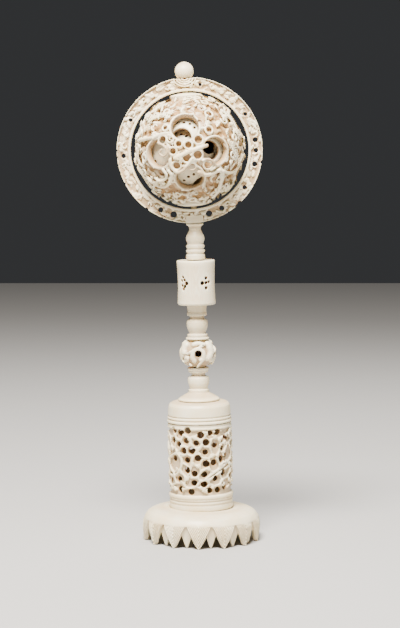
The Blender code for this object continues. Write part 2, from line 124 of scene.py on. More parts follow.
# Lamps: place, aim, width and depth, power and warmth. Lamps and floor are in metres.
LAMPS = {
    "key": ((-0.10, -0.38, 0.78), (0, 0, 0.12), (0.34, 0.26), 37, 0.90),
    "fill": ((0.50, -0.60, 0.30), (0, 0, 0.12), (0.5, 0.5), 1.2, 0.94),
    "rim": ((0.10, 0.45, 0.60), (0, 0, 0.15), (0.4, 0.4), 3, 1),
}
FLOOR_COLOUR = (0.45, 0.44, 0.42, 1.0)
FLOOR_REACH = 1.5
STUDIO_COLOUR = (0.60, 0.62, 0.65, 1.0)
STUDIO_STRENGTH = 0.06
SENSOR_WIDTH = 36.0

# Balls. The holes are given by latitude and longitude; each has a twin half a turn round the pivots.
BALL_RADIUS = 25.0
BALL_INSIDE = 21.2
BALL_GROUND = 22.3
LEAF_LEVEL = 24.0
CAP_ANGLE = 17.0
BALL_HOLES = ((-3, 28), (-1.5, -35), (25.5, -3.5), (-31, -1.7), (25.5, 85), (-25.5, 85))
BALL_HOLE_ANGLE = 14.6
COLLAR_ANGLE = 2.2
BALL_LEAVES = 820
BALL_CURLS = 70
PIVOT_BORE = 1.5
SHELL_RADII = ((20.1, 18.2), (16.4, 14.6))
SHELL_HOLES = (
    ((16.6, -9.8), (-2, 26), (-48, 22), (-41, -38), (25, 85), (-20, 90)),
    ((6, 32), (64, -19), (-30, -5), (-5, -50), (5, 88), (-45, 80)),
)
SHELL_HOLE_ANGLES = (13.0, 12.0)
SHELL_DOT_ANGLES = (20.5, 21.0)
SHELL_DOTS_ROUND = 15
SHELL_DOT = 0.6

# Dots of each inner shell that the photograph shows; guessed ones keep clear of them by an angle
DOTS_SEEN = (
    ((178.2, 122.5), (184.7, 122.3), (190.7, 123.7), (195.3, 127.3), (194.7, 174), (189.2, 176.6),
     (184.9, 180.2), (156.4, 161.3)),
    ((176.7, 132.1), (181.8, 133.3), (187, 135.1), (184.2, 128.6), (215.3, 153.1), (217.8, 157),
     (212.3, 158.3)),
)
DOTS_SEEN_ANGLE = 15.0

# Round wells of the ball in the photograph, with their width there. The first ones have a rim; of the
# others, and of those scattered between, a share stays plain.
WELLS_SEEN = (
    (163.6, 140.3, 7.2), (179.7, 144.2, 5.6), (189.3, 145.2, 6.2), (199.3, 139.9, 7.6), (173.9, 151.6, 6),
    (187.9, 157.9, 8), (198.8, 155.2, 8.2), (177.6, 166, 7), (193.3, 166.9, 5.4), (209, 164.6, 8),
    (209.8, 130.2, 6), (209.7, 114.6, 6), (199.6, 109, 7.6), (157.2, 129.3, 4.6), (179.2, 102.6, 5.4),
    (176, 110.4, 5), (161.6, 173.6, 7), (152, 183.4, 6.4), (170.8, 188.2, 6.4), (185.4, 192.9, 6),
    (222.6, 134.8, 6.4), (240.6, 157, 6.6), (214.8, 178.8, 5), (231.2, 177.8, 5.6), (203, 195.4, 5.4),
    (213.6, 186, 5), (164, 164.4, 5.2), (147.8, 133.4, 4), (167.6, 112.2, 4), (201, 121, 4.4),
    (190, 111.6, 6.6),
)
RIMMED_WELLS = 12
PLAIN_WELL_SHARE = 0.65
WELL_SPACING = 10.8
WELL_TRIES = 4000

# Dark recesses between the carving of the ball, traced on the photograph
RECESSES_SEEN = (
    ((171.5, 185.5), (178, 190.5), (186, 192.8), (194, 191.5), (201, 188)),
    ((155, 170), (160, 172.5), (165, 176), (167, 180)),
    ((236, 148), (239, 154), (240, 161)),
    ((217, 176), (215, 182), (217, 187)),
    ((171, 108), (178, 104.5), (184, 106.5), (191, 103.5)),
)

# Thick winding stems over the rest, traced on the photograph, with the radius at both ends
STEMS_SEEN = (
    (((176, 158.5), (183, 155.2), (189.8, 152), (197.6, 149), (207.6, 145.9)), 0.95, 0.8),
    (((171, 160), (172.6, 167), (178, 172.3), (184, 170.6), (189.2, 164.2), (192.6, 159)), 0.7, 0.6),
    (((140, 141.5), (148, 139.4), (156, 137.6), (162.5, 134.6), (169, 133.6)), 0.75, 0.6),
    (((139.8, 168), (145.3, 175.8), (152, 181), (158.7, 185.6), (165.3, 186.9), (170.9, 182.4),
      (172.6, 175.8), (169.8, 171.3)), 0.9, 0.65),
    (((164.2, 169.6), (167.8, 174.7), (166.4, 179.1), (160.9, 181), (156.4, 178)), 0.6, 0.45),
    (((200, 172.5), (206.5, 175), (213.5, 173.4), (220.9, 170.6), (223.4, 176.5), (221.4, 183.6),
      (218.7, 191.3), (213.5, 197.5)), 0.95, 0.7),
    (((223, 171), (230, 173), (236, 170), (240, 164)), 0.65, 0.5),
    (((159.5, 143.5), (165, 146.2), (168.6, 151.5), (165.4, 156.4), (160.8, 153.6), (163, 149.8)),
     0.55, 0.42),
    (((203.5, 160.5), (207.8, 159.3), (213.4, 161.5), (216, 166.5), (211.5, 170)), 0.55, 0.5),
)

# Long leaves over the rest, traced on the photograph, with their width
FRONDS_SEEN = (
    (((228, 141), (233.5, 148), (236.5, 157), (241, 166.5)), 1.7),
    (((222, 112), (229, 117.5), (234, 125), (237.5, 134)), 1.6),
    (((209, 99.5), (217, 102), (224, 107), (229.5, 114)), 1.6),
    (((171, 118.5), (163, 116), (155.5, 118.5), (149.5, 124)), 1.5),
    (((168.5, 106), (160.5, 108.5), (153, 114), (146.5, 121)), 1.5),
    (((226, 183), (230, 187.5), (229, 194), (223.5, 199)), 1.3),
    (((142, 146), (139.5, 153), (140.5, 160.5), (144.5, 167)), 1.3),
)

# Base
LEAF_COUNT = 14
LEAF_PHASE = -2.9
LEAF_PITCH = 360.0 / LEAF_COUNT
LEAF_FACE = 25.5
BASE_UNDERSIDE = 10.6

# Tube, with the holes and stems that the photograph shows
TUBE_RADIUS = 14.1
TUBE_WALL = 2.1
TUBE_GROUND = TUBE_RADIUS - 0.95
TUBE_AROUND = 2 * pi * TUBE_RADIUS
TUBE_TRIES = 4000
NET_MIDDLE = 21.3
NET_HALF = 14.2
TUBE_DOTS = 100
TUBE_DOT = 0.42
TUBE_DOT_RADIUS = 14.1
TUBE_DOT_ROWS = (37.0, 4.1)
DOT_STRETCH = 1.002
TUBE_HOLES_SEEN = (
    (173.1, 429.5), (179.1, 432.9), (186.3, 430.9), (200.4, 435.8), (210.4, 433.8), (218.7, 432.1),
    (224.2, 438.4), (228.2, 437.2), (172.2, 439.5), (185.4, 440.7), (177.7, 444.4), (195.8, 443.5),
    (206.1, 443.2), (215.9, 445.8), (222.7, 448.1), (182.8, 451), (191.7, 450.7), (205.8, 452.7),
    (186.6, 460.2), (197.8, 458.5), (207, 464.2), (215, 463.1), (221.9, 460.2), (226.5, 455),
    (186.6, 470.5), (194, 474.5), (204.4, 475.4), (216.1, 479.1), (224.5, 472.8), (193.7, 483.7),
    (204.1, 485.4), (178.5, 479.1), (179.7, 489.5), (190.9, 492.3), (210.1, 491.8), (218.7, 491.2),
    (226.2, 487.2),
)
TUBE_STEMS_SEEN = (
    ((231, 458.5), (224, 466.5), (215, 473), (206, 479.5)),
    ((231.5, 464.5), (225, 470), (217, 475.5), (209, 481)),
    ((170, 456), (176, 453), (181, 459), (180, 469), (174, 475.5), (170, 474)),
    ((201, 447), (196, 453), (192, 461), (190, 470), (186, 480)),
)

# Small ball: traced lobes, with how deep their line lies and how thick they are, and cuttings
KNOP_RADIUS = 8.15
KNOP_WALL = 1.7
KNOP_ABOVE_GROUND = 82.0
KNOP_LOBES_SEEN = (
    (((184.5, 343), (181.5, 347), (182, 351.5)), 1.65, 1.6),
    (((209.5, 342.5), (212, 347), (212.5, 353), (210.5, 358)), 1.75, 1.7),
    (((193, 343), (198, 342), (203, 343)), 1.1, 1),
    (((180.5, 357), (182.5, 360.5), (186, 357.5)), 1.2, 1.1),
    (((193.5, 350), (198.5, 348.5), (203.5, 352), (204, 357.5)), 0.95, 0.95),
    (((192.5, 352), (191.5, 357), (193.5, 361.5)), 1, 1),
    (((201, 360.5), (205.5, 358.5), (209, 360)), 1.1, 0.9),
    (((180, 358), (189.5, 351.6), (198, 347.6), (205, 343.5)), 0.55, 0.55),
    (((196.8, 367), (200, 363.5), (204.2, 359)), 0.45, 0.42),
    (((190.5, 365.5), (186.8, 362), (187, 358.5)), 0.5, 0.45),
)
KNOP_CUTTINGS_SEEN = (
    (((188.6, 348.6), (189.4, 346.4), (191, 344.6)), 0.5),
    (((203.3, 345.2), (205.4, 346.8), (206.6, 349.4)), 0.52),
    (((205, 365.6), (208.6, 361.6)), 0.75),
    (((213.2, 362), (215.4, 361)), 0.65),
    (((187.4, 361), (190.4, 364)), 0.6),
    (((181.6, 354.6), (189, 354.8)), 0.5),
    (((207.5, 350.5), (208, 356)), 0.36),
)
KNOP_HOLE_SEEN = (198.2, 353.4)

# Drum: the turns of its flowers, and the holes of both kinds of flower as shift, rise and size
DRUM_RADIUS = 8.3
DRUM_WALL = 1.9
FLOWER_ANGLES = (-44.0, 33.0, 106.0, 177.0, 248.0)
CROSS = ((0, 0.1, 0.45), (0, 2.15, 0.5), (0, -2.15, 0.5), (-1.9, 0, 0.62), (1.6, 0.4, 0.45))
PETALS = ((1.75, 0, 0.6), (0.7, 1.45, 0.42), (0.8, -1.35, 0.45), (-0.3, 2.7, 0.42), (-1, 1.2, 0.42),
          (-0.75, -1, 0.42), (0, -2.5, 0.45))
DRUM_HOLE_SCALE = 1.15
DRUM_HOLE_EXTRA = 0.2

# Ring: its holes and the deep notches in its edge as clock angle and size
RING_HALF = RING_DEPTH / 2
RING_HOLE_LINE = 28.9
RING_HOLES = (
    (13, 0.7), (61, 0.8), (85, 1.1), (94, 1), (106, 1.1), (128, 0.9),
    (155, 1.1), (167, 1.4), (198, 1.4), (210, 1.1), (269, 1), (301, 0.8),
)
RING_NOTCHES = ((103.3, 0.8), (140.7, 1.3), (143.5, 0.9), (220.1, 0.9), (337.7, 0.7))
RING_LEAVES = 250
RING_CURLS = 26
CRESCENTS = (1.2, 2.1, 3.0, 3.9)
BLOCK_WIDTH = 7.6
BLOCK_HEIGHT = 3.4
PEG_BORE = 1.3

# Pegs and finial
PEG_RADIUS = 1.2
PEG_DEPTH = 2.6
PIVOT_SEAT = 0.4
FINIAL_RADIUS = 4.1
FINIAL_FOOT_ANGLE = 43.0
FINIAL_BANDS = 28

# Turned pieces: node, place, points round, and the outline as radius and height, from the top down
TURNED = {
    "cap_turned": ("cylinder_cap", "cap", 160, (
        (0, CAP_HEIGHT), (10.4, CAP_HEIGHT), (11.9, CAP_HEIGHT - 0.35), (12.9, CAP_HEIGHT - 0.95),
        (13.4, CAP_HEIGHT - 1.8), (13.55, 6.4), (13.9, 3.35), (13.5, 3), (13.55, 2.7), (14, 2.45),
        (14.05, 1.9), (13.55, 1.6), (13.6, 1.35), (14.1, 1.15), (14.3, 0.55), (14.1, 0.1), (13.8, 0),
        (12, 0), (11.5, 5.5), (8, 7.2), (0, 7.2),
    )),
    "lower_stem_turned": ("lower_stem", "lower_stem", 112, (
        (0, 14.4), (4.6, 14.4), (4.85, 14.1), (4.8, 13.6), (4.35, 13.2), (4.28, 12.3), (3.1, 11.8),
        (2.96, 11.1), (3.15, 10.7), (4.4, 10.2), (4.68, 9.6), (4.72, 8.6), (4.6, 7.4), (4.25, 6.2),
        (3.87, 5.3), (3.9, 5), (4.45, 4.7), (4.5, 3.7), (4.6, 3.4), (5.2, 3), (7, 2), (8.6, 1),
        (9.1, 0.55), (9.05, 0), (0, 0),
    )),
    "middle_stem_turned": ("middle_stem", "middle_stem", 112, (
        (0, 14.9), (4.35, 14.9), (4.2, 13.6), (4.1, 12), (4.3, 11.5), (4.35, 10.9), (4.25, 10.4),
        (3.35, 10.1), (3.2, 9.6), (3.3, 9), (4.3, 8.3), (4.62, 7.4), (4.66, 6.3), (4.5, 5.2), (4, 3.8),
        (3.62, 2.9), (3.65, 2.4), (4.35, 2.1), (4.48, 1.6), (4.4, 1), (4.6, 0.75), (5.1, 0.55), (5.05, 0),
        (0, 0),
    )),
    "upper_stem_turned": ("upper_stem", "upper_stem", 112, (
        (0, 15.7), (3.6, 15.7), (3.78, 15.4), (3.7, 15.1), (3, 14.8), (2.6, 14.2), (2.48, 13.4),
        (2.75, 12.4), (3.4, 11.2), (3.95, 10), (4.08, 9.2), (3.95, 8.3), (3.5, 7.2), (3.4, 6.7),
        (3.85, 6.4), (4.05, 5.8), (3.9, 5.1), (3.5, 4.8), (3.6, 4.4), (4.1, 4.1), (4.15, 3.4),
        (3.75, 3), (3.55, 2.7), (3.75, 2.3), (4.15, 1.9), (4.15, 0.7), (4, 0), (0, 0),
    )),
}
TURNED_EDGE = 0.14


def length_of(x, y, z):
    return np.sqrt(x * x + y * y + z * z)


def smooth_least(first, second, blend):
    """The smaller of two distances, rounded where they are closer to each other than blend."""
    if blend <= 0.0:
        return np.minimum(first, second)
    share = np.clip(0.5 + 0.5 * (first - second) / blend, 0.0, 1.0)
    return first + (second - first) * share - blend * share * (1.0 - share)


def most(*distances):
    """The largest distance at each place: the signed distance to what all the forms share."""
    return reduce(np.maximum, distances)


class Block:
    """A block of voxels that holds the signed distance to a solid."""

    def __init__(self, low, high, step):
        step *= 1.0
        self.step = step
        self.axes = [np.arange(a - 2 * step, b + 3 * step, step) for a, b in zip(low, high)]
        self.value = np.full([len(axis) for axis in self.axes], FAR, np.float32)

    def grid(self, low=None, high=None):
        """The part of the block inside a box: its slices, and x, y and z there."""
        cuts = []
        for i, axis in enumerate(self.axes):
            first = 0 if low is None else int(np.searchsorted(axis, low[i]))
            last = len(axis) if high is None else int(np.searchsorted(axis, high[i]))
            cuts.append(slice(first, last))
        x, y, z = (axis[cut].astype(np.float32) for axis, cut in zip(self.axes, cuts))
        return tuple(cuts), x[:, None, None], y[None, :, None], z[None, None, :]

    def grid_round(self, start, end, margin):
        """The part of the block round a line."""
        margin += 2 * self.step
        return self.grid(np.minimum(start, end) - margin, np.maximum(start, end) + margin)

    def join(self, cuts, distance, blend):
        """Add a form; where it meets the rest, blend sets the size of the fillet."""
        self.value[cuts] = smooth_least(self.value[cuts], distance.astype(np.float32), blend)

    def carve(self, cuts, distance, blend):
        """Take a form away."""
        self.value[cuts] = -smooth_least(-self.value[cuts], distance.astype(np.float32), blend)

    def trim(self, distance):
        """Take away all that lies outside a form."""
        self.value = np.maximum(self.value, distance.astype(np.float32))

    def rod(self, start, end, radius, end_radius, blend, cut=False):
        """A rod with round ends between two points, added or cut away; its radius may change along it."""
        end_radius = radius if end_radius is None else end_radius
        start, end = np.asarray(start, float), np.asarray(end, float)
        cuts, x, y, z = self.grid_round(start, end, max(radius, end_radius) + blend)
        along = end - start
        squared = max(float(along @ along), 1e-9)
        dx, dy, dz = x - start[0], y - start[1], z - start[2]
        share = np.clip((dx * along[0] + dy * along[1] + dz * along[2]) / squared, 0.0, 1.0)
        away = (dx - share * along[0]) ** 2 + (dy - share * along[1]) ** 2 + (dz - share * along[2]) ** 2
        distance = np.sqrt(away) - (radius + (end_radius - radius) * share)
        (self.carve if cut else self.join)(cuts, distance, blend)

    def bore(self, start, end, radius, blend, end_radius=None):
        self.rod(start, end, radius, end_radius, blend, cut=True)

    def path(self, points, radius, end_radius, blend, cut=False):
        """Rods end to end, their radius changing from the first point to the last."""
        end_radius = radius if end_radius is None else end_radius
        last = len(points) - 1
        for i in range(last):
            near = radius + (end_radius - radius) * i / last
            far = radius + (end_radius - radius) * (i + 1) / last
            self.rod(points[i], points[i + 1], near, far, blend, cut)

    def drill(self, start, end, radius, blend):
        """Cut a round hole with a flat floor at its start."""
        start, end = np.asarray(start, float), np.asarray(end, float)
        cuts, x, y, z = self.grid_round(start, end, radius + blend)
        length = float(np.linalg.norm(end - start))
        out = (end - start) / length
        dx, dy, dz = x - start[0], y - start[1], z - start[2]
        along = dx * out[0] + dy * out[1] + dz * out[2]
        away = np.sqrt(np.maximum(dx * dx + dy * dy + dz * dz - along * along, 0.0))
        self.carve(cuts, most(away - radius, -along, along - length), blend)


def outline_distance(outline, radii, heights):
    """Signed distance in the plane of a turned outline; edges on the axis don't count."""
    r, h = np.meshgrid(radii, heights, indexing="ij")
    nearest = np.full(r.shape, 1e9)
    inside = np.zeros(r.shape, bool)
    for (r0, h0), (r1, h1) in zip(outline, outline[1:] + outline[:1]):
        dr, dh = r1 - r0, h1 - h0
        if abs(dh) > 1e-9:
            inside ^= (h >= min(h0, h1)) & (h < max(h0, h1)) & (r < r0 + (h - h0) * dr / dh)
        if r0 <= 0.0 and r1 <= 0.0:
            continue
        share = np.clip(((r - r0) * dr + (h - h0) * dh) / max(dr * dr + dh * dh, 1e-12), 0.0, 1.0)
        away = (r - r0 - share * dr) ** 2 + (h - h0 - share * dh) ** 2
        nearest = np.minimum(nearest, away)
    return np.where(inside, -1.0, 1.0) * np.sqrt(nearest)


def turned_block(outline, step, reach=0.0, low=FAR):
    """A block that holds a turned solid; reach and low make room for what is added round and below it."""
    reach = max([reach] + [r for r, h in outline])
    low, high = min([low] + [h for r, h in outline]), max(h for r, h in outline)
    block = Block((-reach, -reach, low), (reach, reach, high), step)
    # The table goes on a little past the corners of the block
    radii = np.arange(0.0, reach * 1.45 + 1.0, block.step / 2)
    table = outline_distance(outline, radii, block.axes[2])
    across = np.hypot(*np.meshgrid(block.axes[0], block.axes[1], indexing="ij"))
    for level in range(len(block.axes[2])):
        block.value[:, :, level] = np.interp(across, radii, table[:, level])
    return block


def shell_block(outer, inside, step, reach):
    """A block that holds a hollow ball and reaches so far out."""
    block = Block((-reach, -reach, -reach), (reach, reach, reach), step)
    cuts, x, y, z = block.grid()
    radius = length_of(x, y, z)
    block.join(cuts, most(radius - outer, inside - radius), 0.0)
    return block


def box_mean(value, reach):
    """The mean over a cube of voxels, by running sums."""
    for axis in range(3):
        before = np.repeat(np.take(value, [0], axis), reach + 1, axis)
        after = np.repeat(np.take(value, [-1], axis), reach, axis)
        total = np.cumsum(np.concatenate([before, value, after], axis), axis, dtype=np.float64)
        size = value.shape[axis]
        upper = np.take(total, range(2 * reach + 1, 2 * reach + 1 + size), axis)
        lower = np.take(total, range(size), axis)
        value = ((upper - lower) / (2 * reach + 1)).astype(np.float32)
    return value


def surface(block):
    """Points and four-sided faces of the zero surface, with one point in each cell that it passes."""
    field = block.value
    inside = field < 0.0
    shape = np.array(field.shape) - 1
    corners = [(i, j, k) for i in (0, 1) for j in (0, 1) for k in (0, 1)]
    count = np.zeros(shape, np.int8)
    for i, j, k in corners:
        count += inside[i:i + shape[0], j:j + shape[1], k:k + shape[2]]
    cells = np.argwhere((count > 0) & (count < 8))
    number = np.full(shape, -1, np.int64)
    number[tuple(cells.T)] = np.arange(len(cells))
    total = np.zeros((len(cells), 3))
    weight = np.zeros((len(cells), 1))
    for a in corners:
        for axis in range(3):
            if a[axis]:
                continue
            b = list(a)
            b[axis] = 1
            fa = field[tuple((cells + a).T)].astype(float)
            fb = field[tuple((cells + b).T)].astype(float)
            crossed = (fa < 0) != (fb < 0)
            share = np.where(crossed, fa / np.where(crossed, fa - fb, 1.0), 0.0)
            spot = np.array(a, float) + np.zeros((len(cells), 3))
            spot[:, axis] += share
            total += spot * crossed[:, None]
            weight += crossed[:, None]
    low = np.array([axis[0] for axis in block.axes])
    points = low + (cells + total / weight) * block.step
    faces = []
    for axis in range(3):
        u, v = (axis + 1) % 3, (axis + 2) % 3
        first = [slice(1, None)] * 3
        first[axis] = slice(0, -1)
        second = list(first)
        second[axis] = slice(1, None)
        crossed = np.argwhere(inside[tuple(first)] != inside[tuple(second)])
        crossed[:, u] += 1
        crossed[:, v] += 1
        crossed = crossed[(crossed[:, u] < shape[u]) & (crossed[:, v] < shape[v])]
        outward = inside[tuple(crossed.T)]
        ring = []
        for du, dv in ((0, 0), (1, 0), (1, 1), (0, 1)):
            cell = crossed.copy()
            cell[:, u] -= du
            cell[:, v] -= dv
            ring.append(number[tuple(cell.T)])
        quads = np.stack(ring, 1)
        quads[~outward] = quads[~outward][:, ::-1]
        faces.append(quads)
    faces = np.concatenate(faces)
    return points, faces[(faces >= 0).all(1)]


def hollow_shade_and_stain(block, points, reach):
    """How far each point is closed in by the solid round it: 0 on open surface, 1 deep in a hollow."""
    # The result darkens the colour: painted shade in the hollows, together with real staining
    solid = np.clip(0.5 - block.value / block.step, 0.0, 1.0).astype(np.float32)
    cells = max(1, int(round(reach / block.step)))
    share = box_mean(box_mean(solid, cells), cells)
    low = np.array([axis[0] for axis in block.axes])
    spots = np.clip(np.rint((points - low) / block.step).astype(int), 0, np.array(share.shape) - 1)
    return np.clip((share[tuple(spots.T)] - OPEN_SHARE) / HIDDEN_MORE, 0.0, 1.0)


def new_object(name, data):
    obj = bpy.data.objects.new(name, data)
    bpy.context.scene.collection.objects.link(obj)
    return obj


def give_shade_and_stain(mesh, shade_and_stain):
    # The attribute holds painted shade in hollows, grooves and necks, together with real staining in the
    # hollows
    layer = mesh.attributes.new("shade_and_stain", "FLOAT", "POINT")
    layer.data.foreach_set("value", np.array(shade_and_stain, np.float32))


def put(obj, place, material, body, node):
    """Set a piece in place of a node, with its material."""
    obj.data.transform(place)
    obj.data.materials.clear()
    obj.data.materials.append(material)
    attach(obj, body)
    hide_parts(node)


def carved_piece(name, block, place, material, sunk):
    """Give a block its surface, thin it out below its number of triangles, and put it in place.

    sunk gives, from the points, how far each lies down in the sunk ground, from 0 to 1.
    """
    node, body, limit, shade_and_stain_reach = CARVED[name]
    points, quads = surface(block)
    mesh = bpy.data.meshes.new(name)
    mesh.vertices.add(len(points))
    mesh.vertices.foreach_set("co", (points * MM).astype(np.float32).ravel())
    mesh.loops.add(quads.size)
    mesh.loops.foreach_set("vertex_index", quads.astype(np.int32).ravel())
    mesh.polygons.add(len(quads))
    mesh.polygons.foreach_set("loop_start", np.arange(0, quads.size, 4, dtype=np.int32))
    mesh.update(calc_edges=True)
    mesh.validate()
    # Painted shade in the hollows, together with real staining, from how closed in and how sunk each
    # point is
    give_shade_and_stain(mesh, np.maximum(hollow_shade_and_stain(block, points, shade_and_stain_reach), np.clip(sunk(points), 0.0, 1.0)))
    obj = new_object(name, mesh)
    if 2 * len(quads) > limit:
        thin = obj.modifiers.new("Thin", "DECIMATE")
        thin.ratio = limit / (2 * len(quads))
        graph = bpy.context.evaluated_depsgraph_get()
        obj.data = bpy.data.meshes.new_from_object(obj.evaluated_get(graph))
        obj.modifiers.clear()
    obj.data.shade_smooth()
    put(obj, place, material, body, node)


def soften(outline, radius):
    """Round the corners of a turned outline."""
    points = [outline[0]]
    for before, corner, after in zip(outline, outline[1:], outline[2:]):
        before, corner, after = Vector(before), Vector(corner), Vector(after)
        near = corner + (before - corner) * min(0.45, radius / max((before - corner).length, 1e-6))
        far = corner + (after - corner) * min(0.45, radius / max((after - corner).length, 1e-6))
        for share in (0.0, 0.33, 0.67, 1.0):
            spot = near * (1 - share) ** 2 + corner * 2 * share * (1 - share) + far * share ** 2
            points.append((spot.x, spot.y))
    points.append(outline[-1])
    return points


def turned_piece(name, outline, place, material, node, steps, edge):
    """A piece straight from the lathe, with painted shade in its grooves and necks and near its axis."""
    profile = soften(outline, edge)
    turns = [2 * pi * i / steps for i in range(steps)]
    bm = bmesh.new()
    rings = []
    shade_and_stain = []
    for r, h in profile:
        if r < 1e-6:
            ring = [bm.verts.new((0.0, 0.0, h * MM))]
        else:
            ring = [bm.verts.new((r * cos(a) * MM, r * sin(a) * MM, h * MM)) for a in turns]
        # Painted shade: the deeper a groove or neck lies below the rims near it, the darker; near the
        # axis a little dark
        proud = max(other for other, height in profile if abs(height - h) < NECK_REACH) - r
        groove = min(NECK_DARKEST, max(0.0, (proud - NECK_FREE) / NECK_DEPTH))
        shade_and_stain += [groove if r > PEG_RADIUS else PEG_SHADE] * len(ring)
        rings.append(ring)
    for upper, lower in zip(rings, rings[1:]):
        for i in range(steps):
            j = (i + 1) % steps
            ends = ((upper, i), (lower, i), (lower, j), (upper, j))
            corners = list(dict.fromkeys(ring[k % len(ring)] for ring, k in ends))
            if len(corners) > 2:
                bm.faces.new(corners)
    bmesh.ops.recalc_face_normals(bm, faces=bm.faces[:])
    mesh = bpy.data.meshes.new(name)
    bm.to_mesh(mesh)
    bm.free()
    mesh.shade_smooth()
    give_shade_and_stain(mesh, shade_and_stain)
    put(new_object(name, mesh), place, material, "stand", node)


def direction(latitude, longitude):
    lat, lon = radians(latitude), radians(longitude)
    return np.array((cos(lat) * sin(lon), -cos(lat) * cos(lon), sin(lat)))


def angle_between(a, b):
    return degrees(acos(max(-1.0, min(1.0, float(np.dot(a, b))))))


def off_axis(points):
    """How far points lie from the upright axis."""
    return np.hypot(points[:, 0], points[:, 1])


def near_any(spot, axes, angle):
    return any(angle_between(spot, axis) < angle for axis in axes)


def unit(v):
    v = np.asarray(v, float)
    return v / max(np.linalg.norm(v), 1e-9)


def hole_axes(front):
    return [direction(lat, lon + turn) for lat, lon in front for turn in (0.0, 180.0)]


def circle(axis, angle, count):
    """Directions round a small circle on the unit sphere, ending on the first."""
    side = unit(np.cross(axis, (0.3, 0.2, 0.9)))
    other = np.cross(axis, side)
    away = radians(angle)
    found = []
    for t in np.linspace(0.0, 2 * pi, count + 1):
        found.append(axis * cos(away) + (side * cos(t) + other * sin(t)) * sin(away))
    return found


def cone_hole(block, axis, angle, near, far):
    """Cut a round hole that points to the middle and narrows towards it."""
    slope = tan(radians(angle))
    block.bore(axis * near, axis * far, near * slope, 0.12, far * slope)


def from_photo(column, row, reach=LEAF_LEVEL):
    """A direction in the ball's own frame, from a place on a sphere in the photograph."""
    across, up, depth = (column - BALL_PIXEL[0]) * PIXEL, (BALL_PIXEL[1] - row) * PIXEL, 0.0
    for turn in range(REFINEMENTS):
        scale = 1.0 - depth / CAMERA_DISTANCE
        depth = sqrt(max(0.0, reach ** 2 - (across * scale) ** 2 - (up * scale) ** 2))
    spot = Vector((across * scale, -depth, up * scale))
    return unit(Matrix.Rotation(radians(RING_LEAN), 3, "Y") @ spot)


def curve_through(points, steps):
    """A smooth run of points through the given ones."""
    points = [np.asarray(p, float) for p in points]
    padded = [2 * points[0] - points[1]] + points + [2 * points[-1] - points[-2]]
    smooth = []
    for a, b, c, d in zip(padded, padded[1:], padded[2:], padded[3:]):
        for i in range(steps):
            t = i / steps
            smooth.append(0.5 * (2 * b + (c - a) * t + (2 * a - 5 * b + 4 * c - d) * t * t
                                 + (3 * b - a - 3 * c + d) * t ** 3))
    smooth.append(points[-1])
    return smooth


def on_ball(spots, level, steps=5):
    """A smooth run of points on the ball through places in the photograph."""
    run = curve_through([from_photo(*spot) for spot in spots], steps)
    return [unit(p) * level for p in run]


def leaf(block, root, along, normal, length, width, thick, rise):
    """A leaf with a midrib and slanting barbs that make its edge serrated."""
    along = unit(along - normal * np.dot(along, normal))
    across = np.cross(normal, along)
    ribs = max(3, int(round(length / 0.8)))
    block.rod(root, root + along * length + normal * rise, thick * 1.1, thick * 0.65, 0.12)
    for i in range(ribs):
        share = (i + 0.3) / ribs
        reach = width * sin(pi * (0.3 + 0.62 * share))
        start = root + along * length * share * 0.85 + normal * rise * share
        for side in (-1.0, 1.0):
            end = start + across * side * reach + along * reach * 0.7 - normal * 0.12
            block.rod(start, end, thick, thick * 0.7, 0.1)


def frond(block, points, width, thick=0.34):
    """A long leaf along a curve on the ball, its barbs growing shorter towards the tip."""
    last = len(points) - 1
    block.path(points, thick * 1.2, thick * 0.7, 0.12)
    for i in range(last):
        along = unit(points[i + 1] - points[i])
        across = np.cross(unit(points[i]), along)
        reach = width * sin(pi * (0.25 + 0.7 * i / last))
        for side in (-1.0, 1.0):
            end = points[i] + across * side * reach + along * reach * 0.7
            block.rod(points[i], end, thick, thick * 0.7, 0.1)


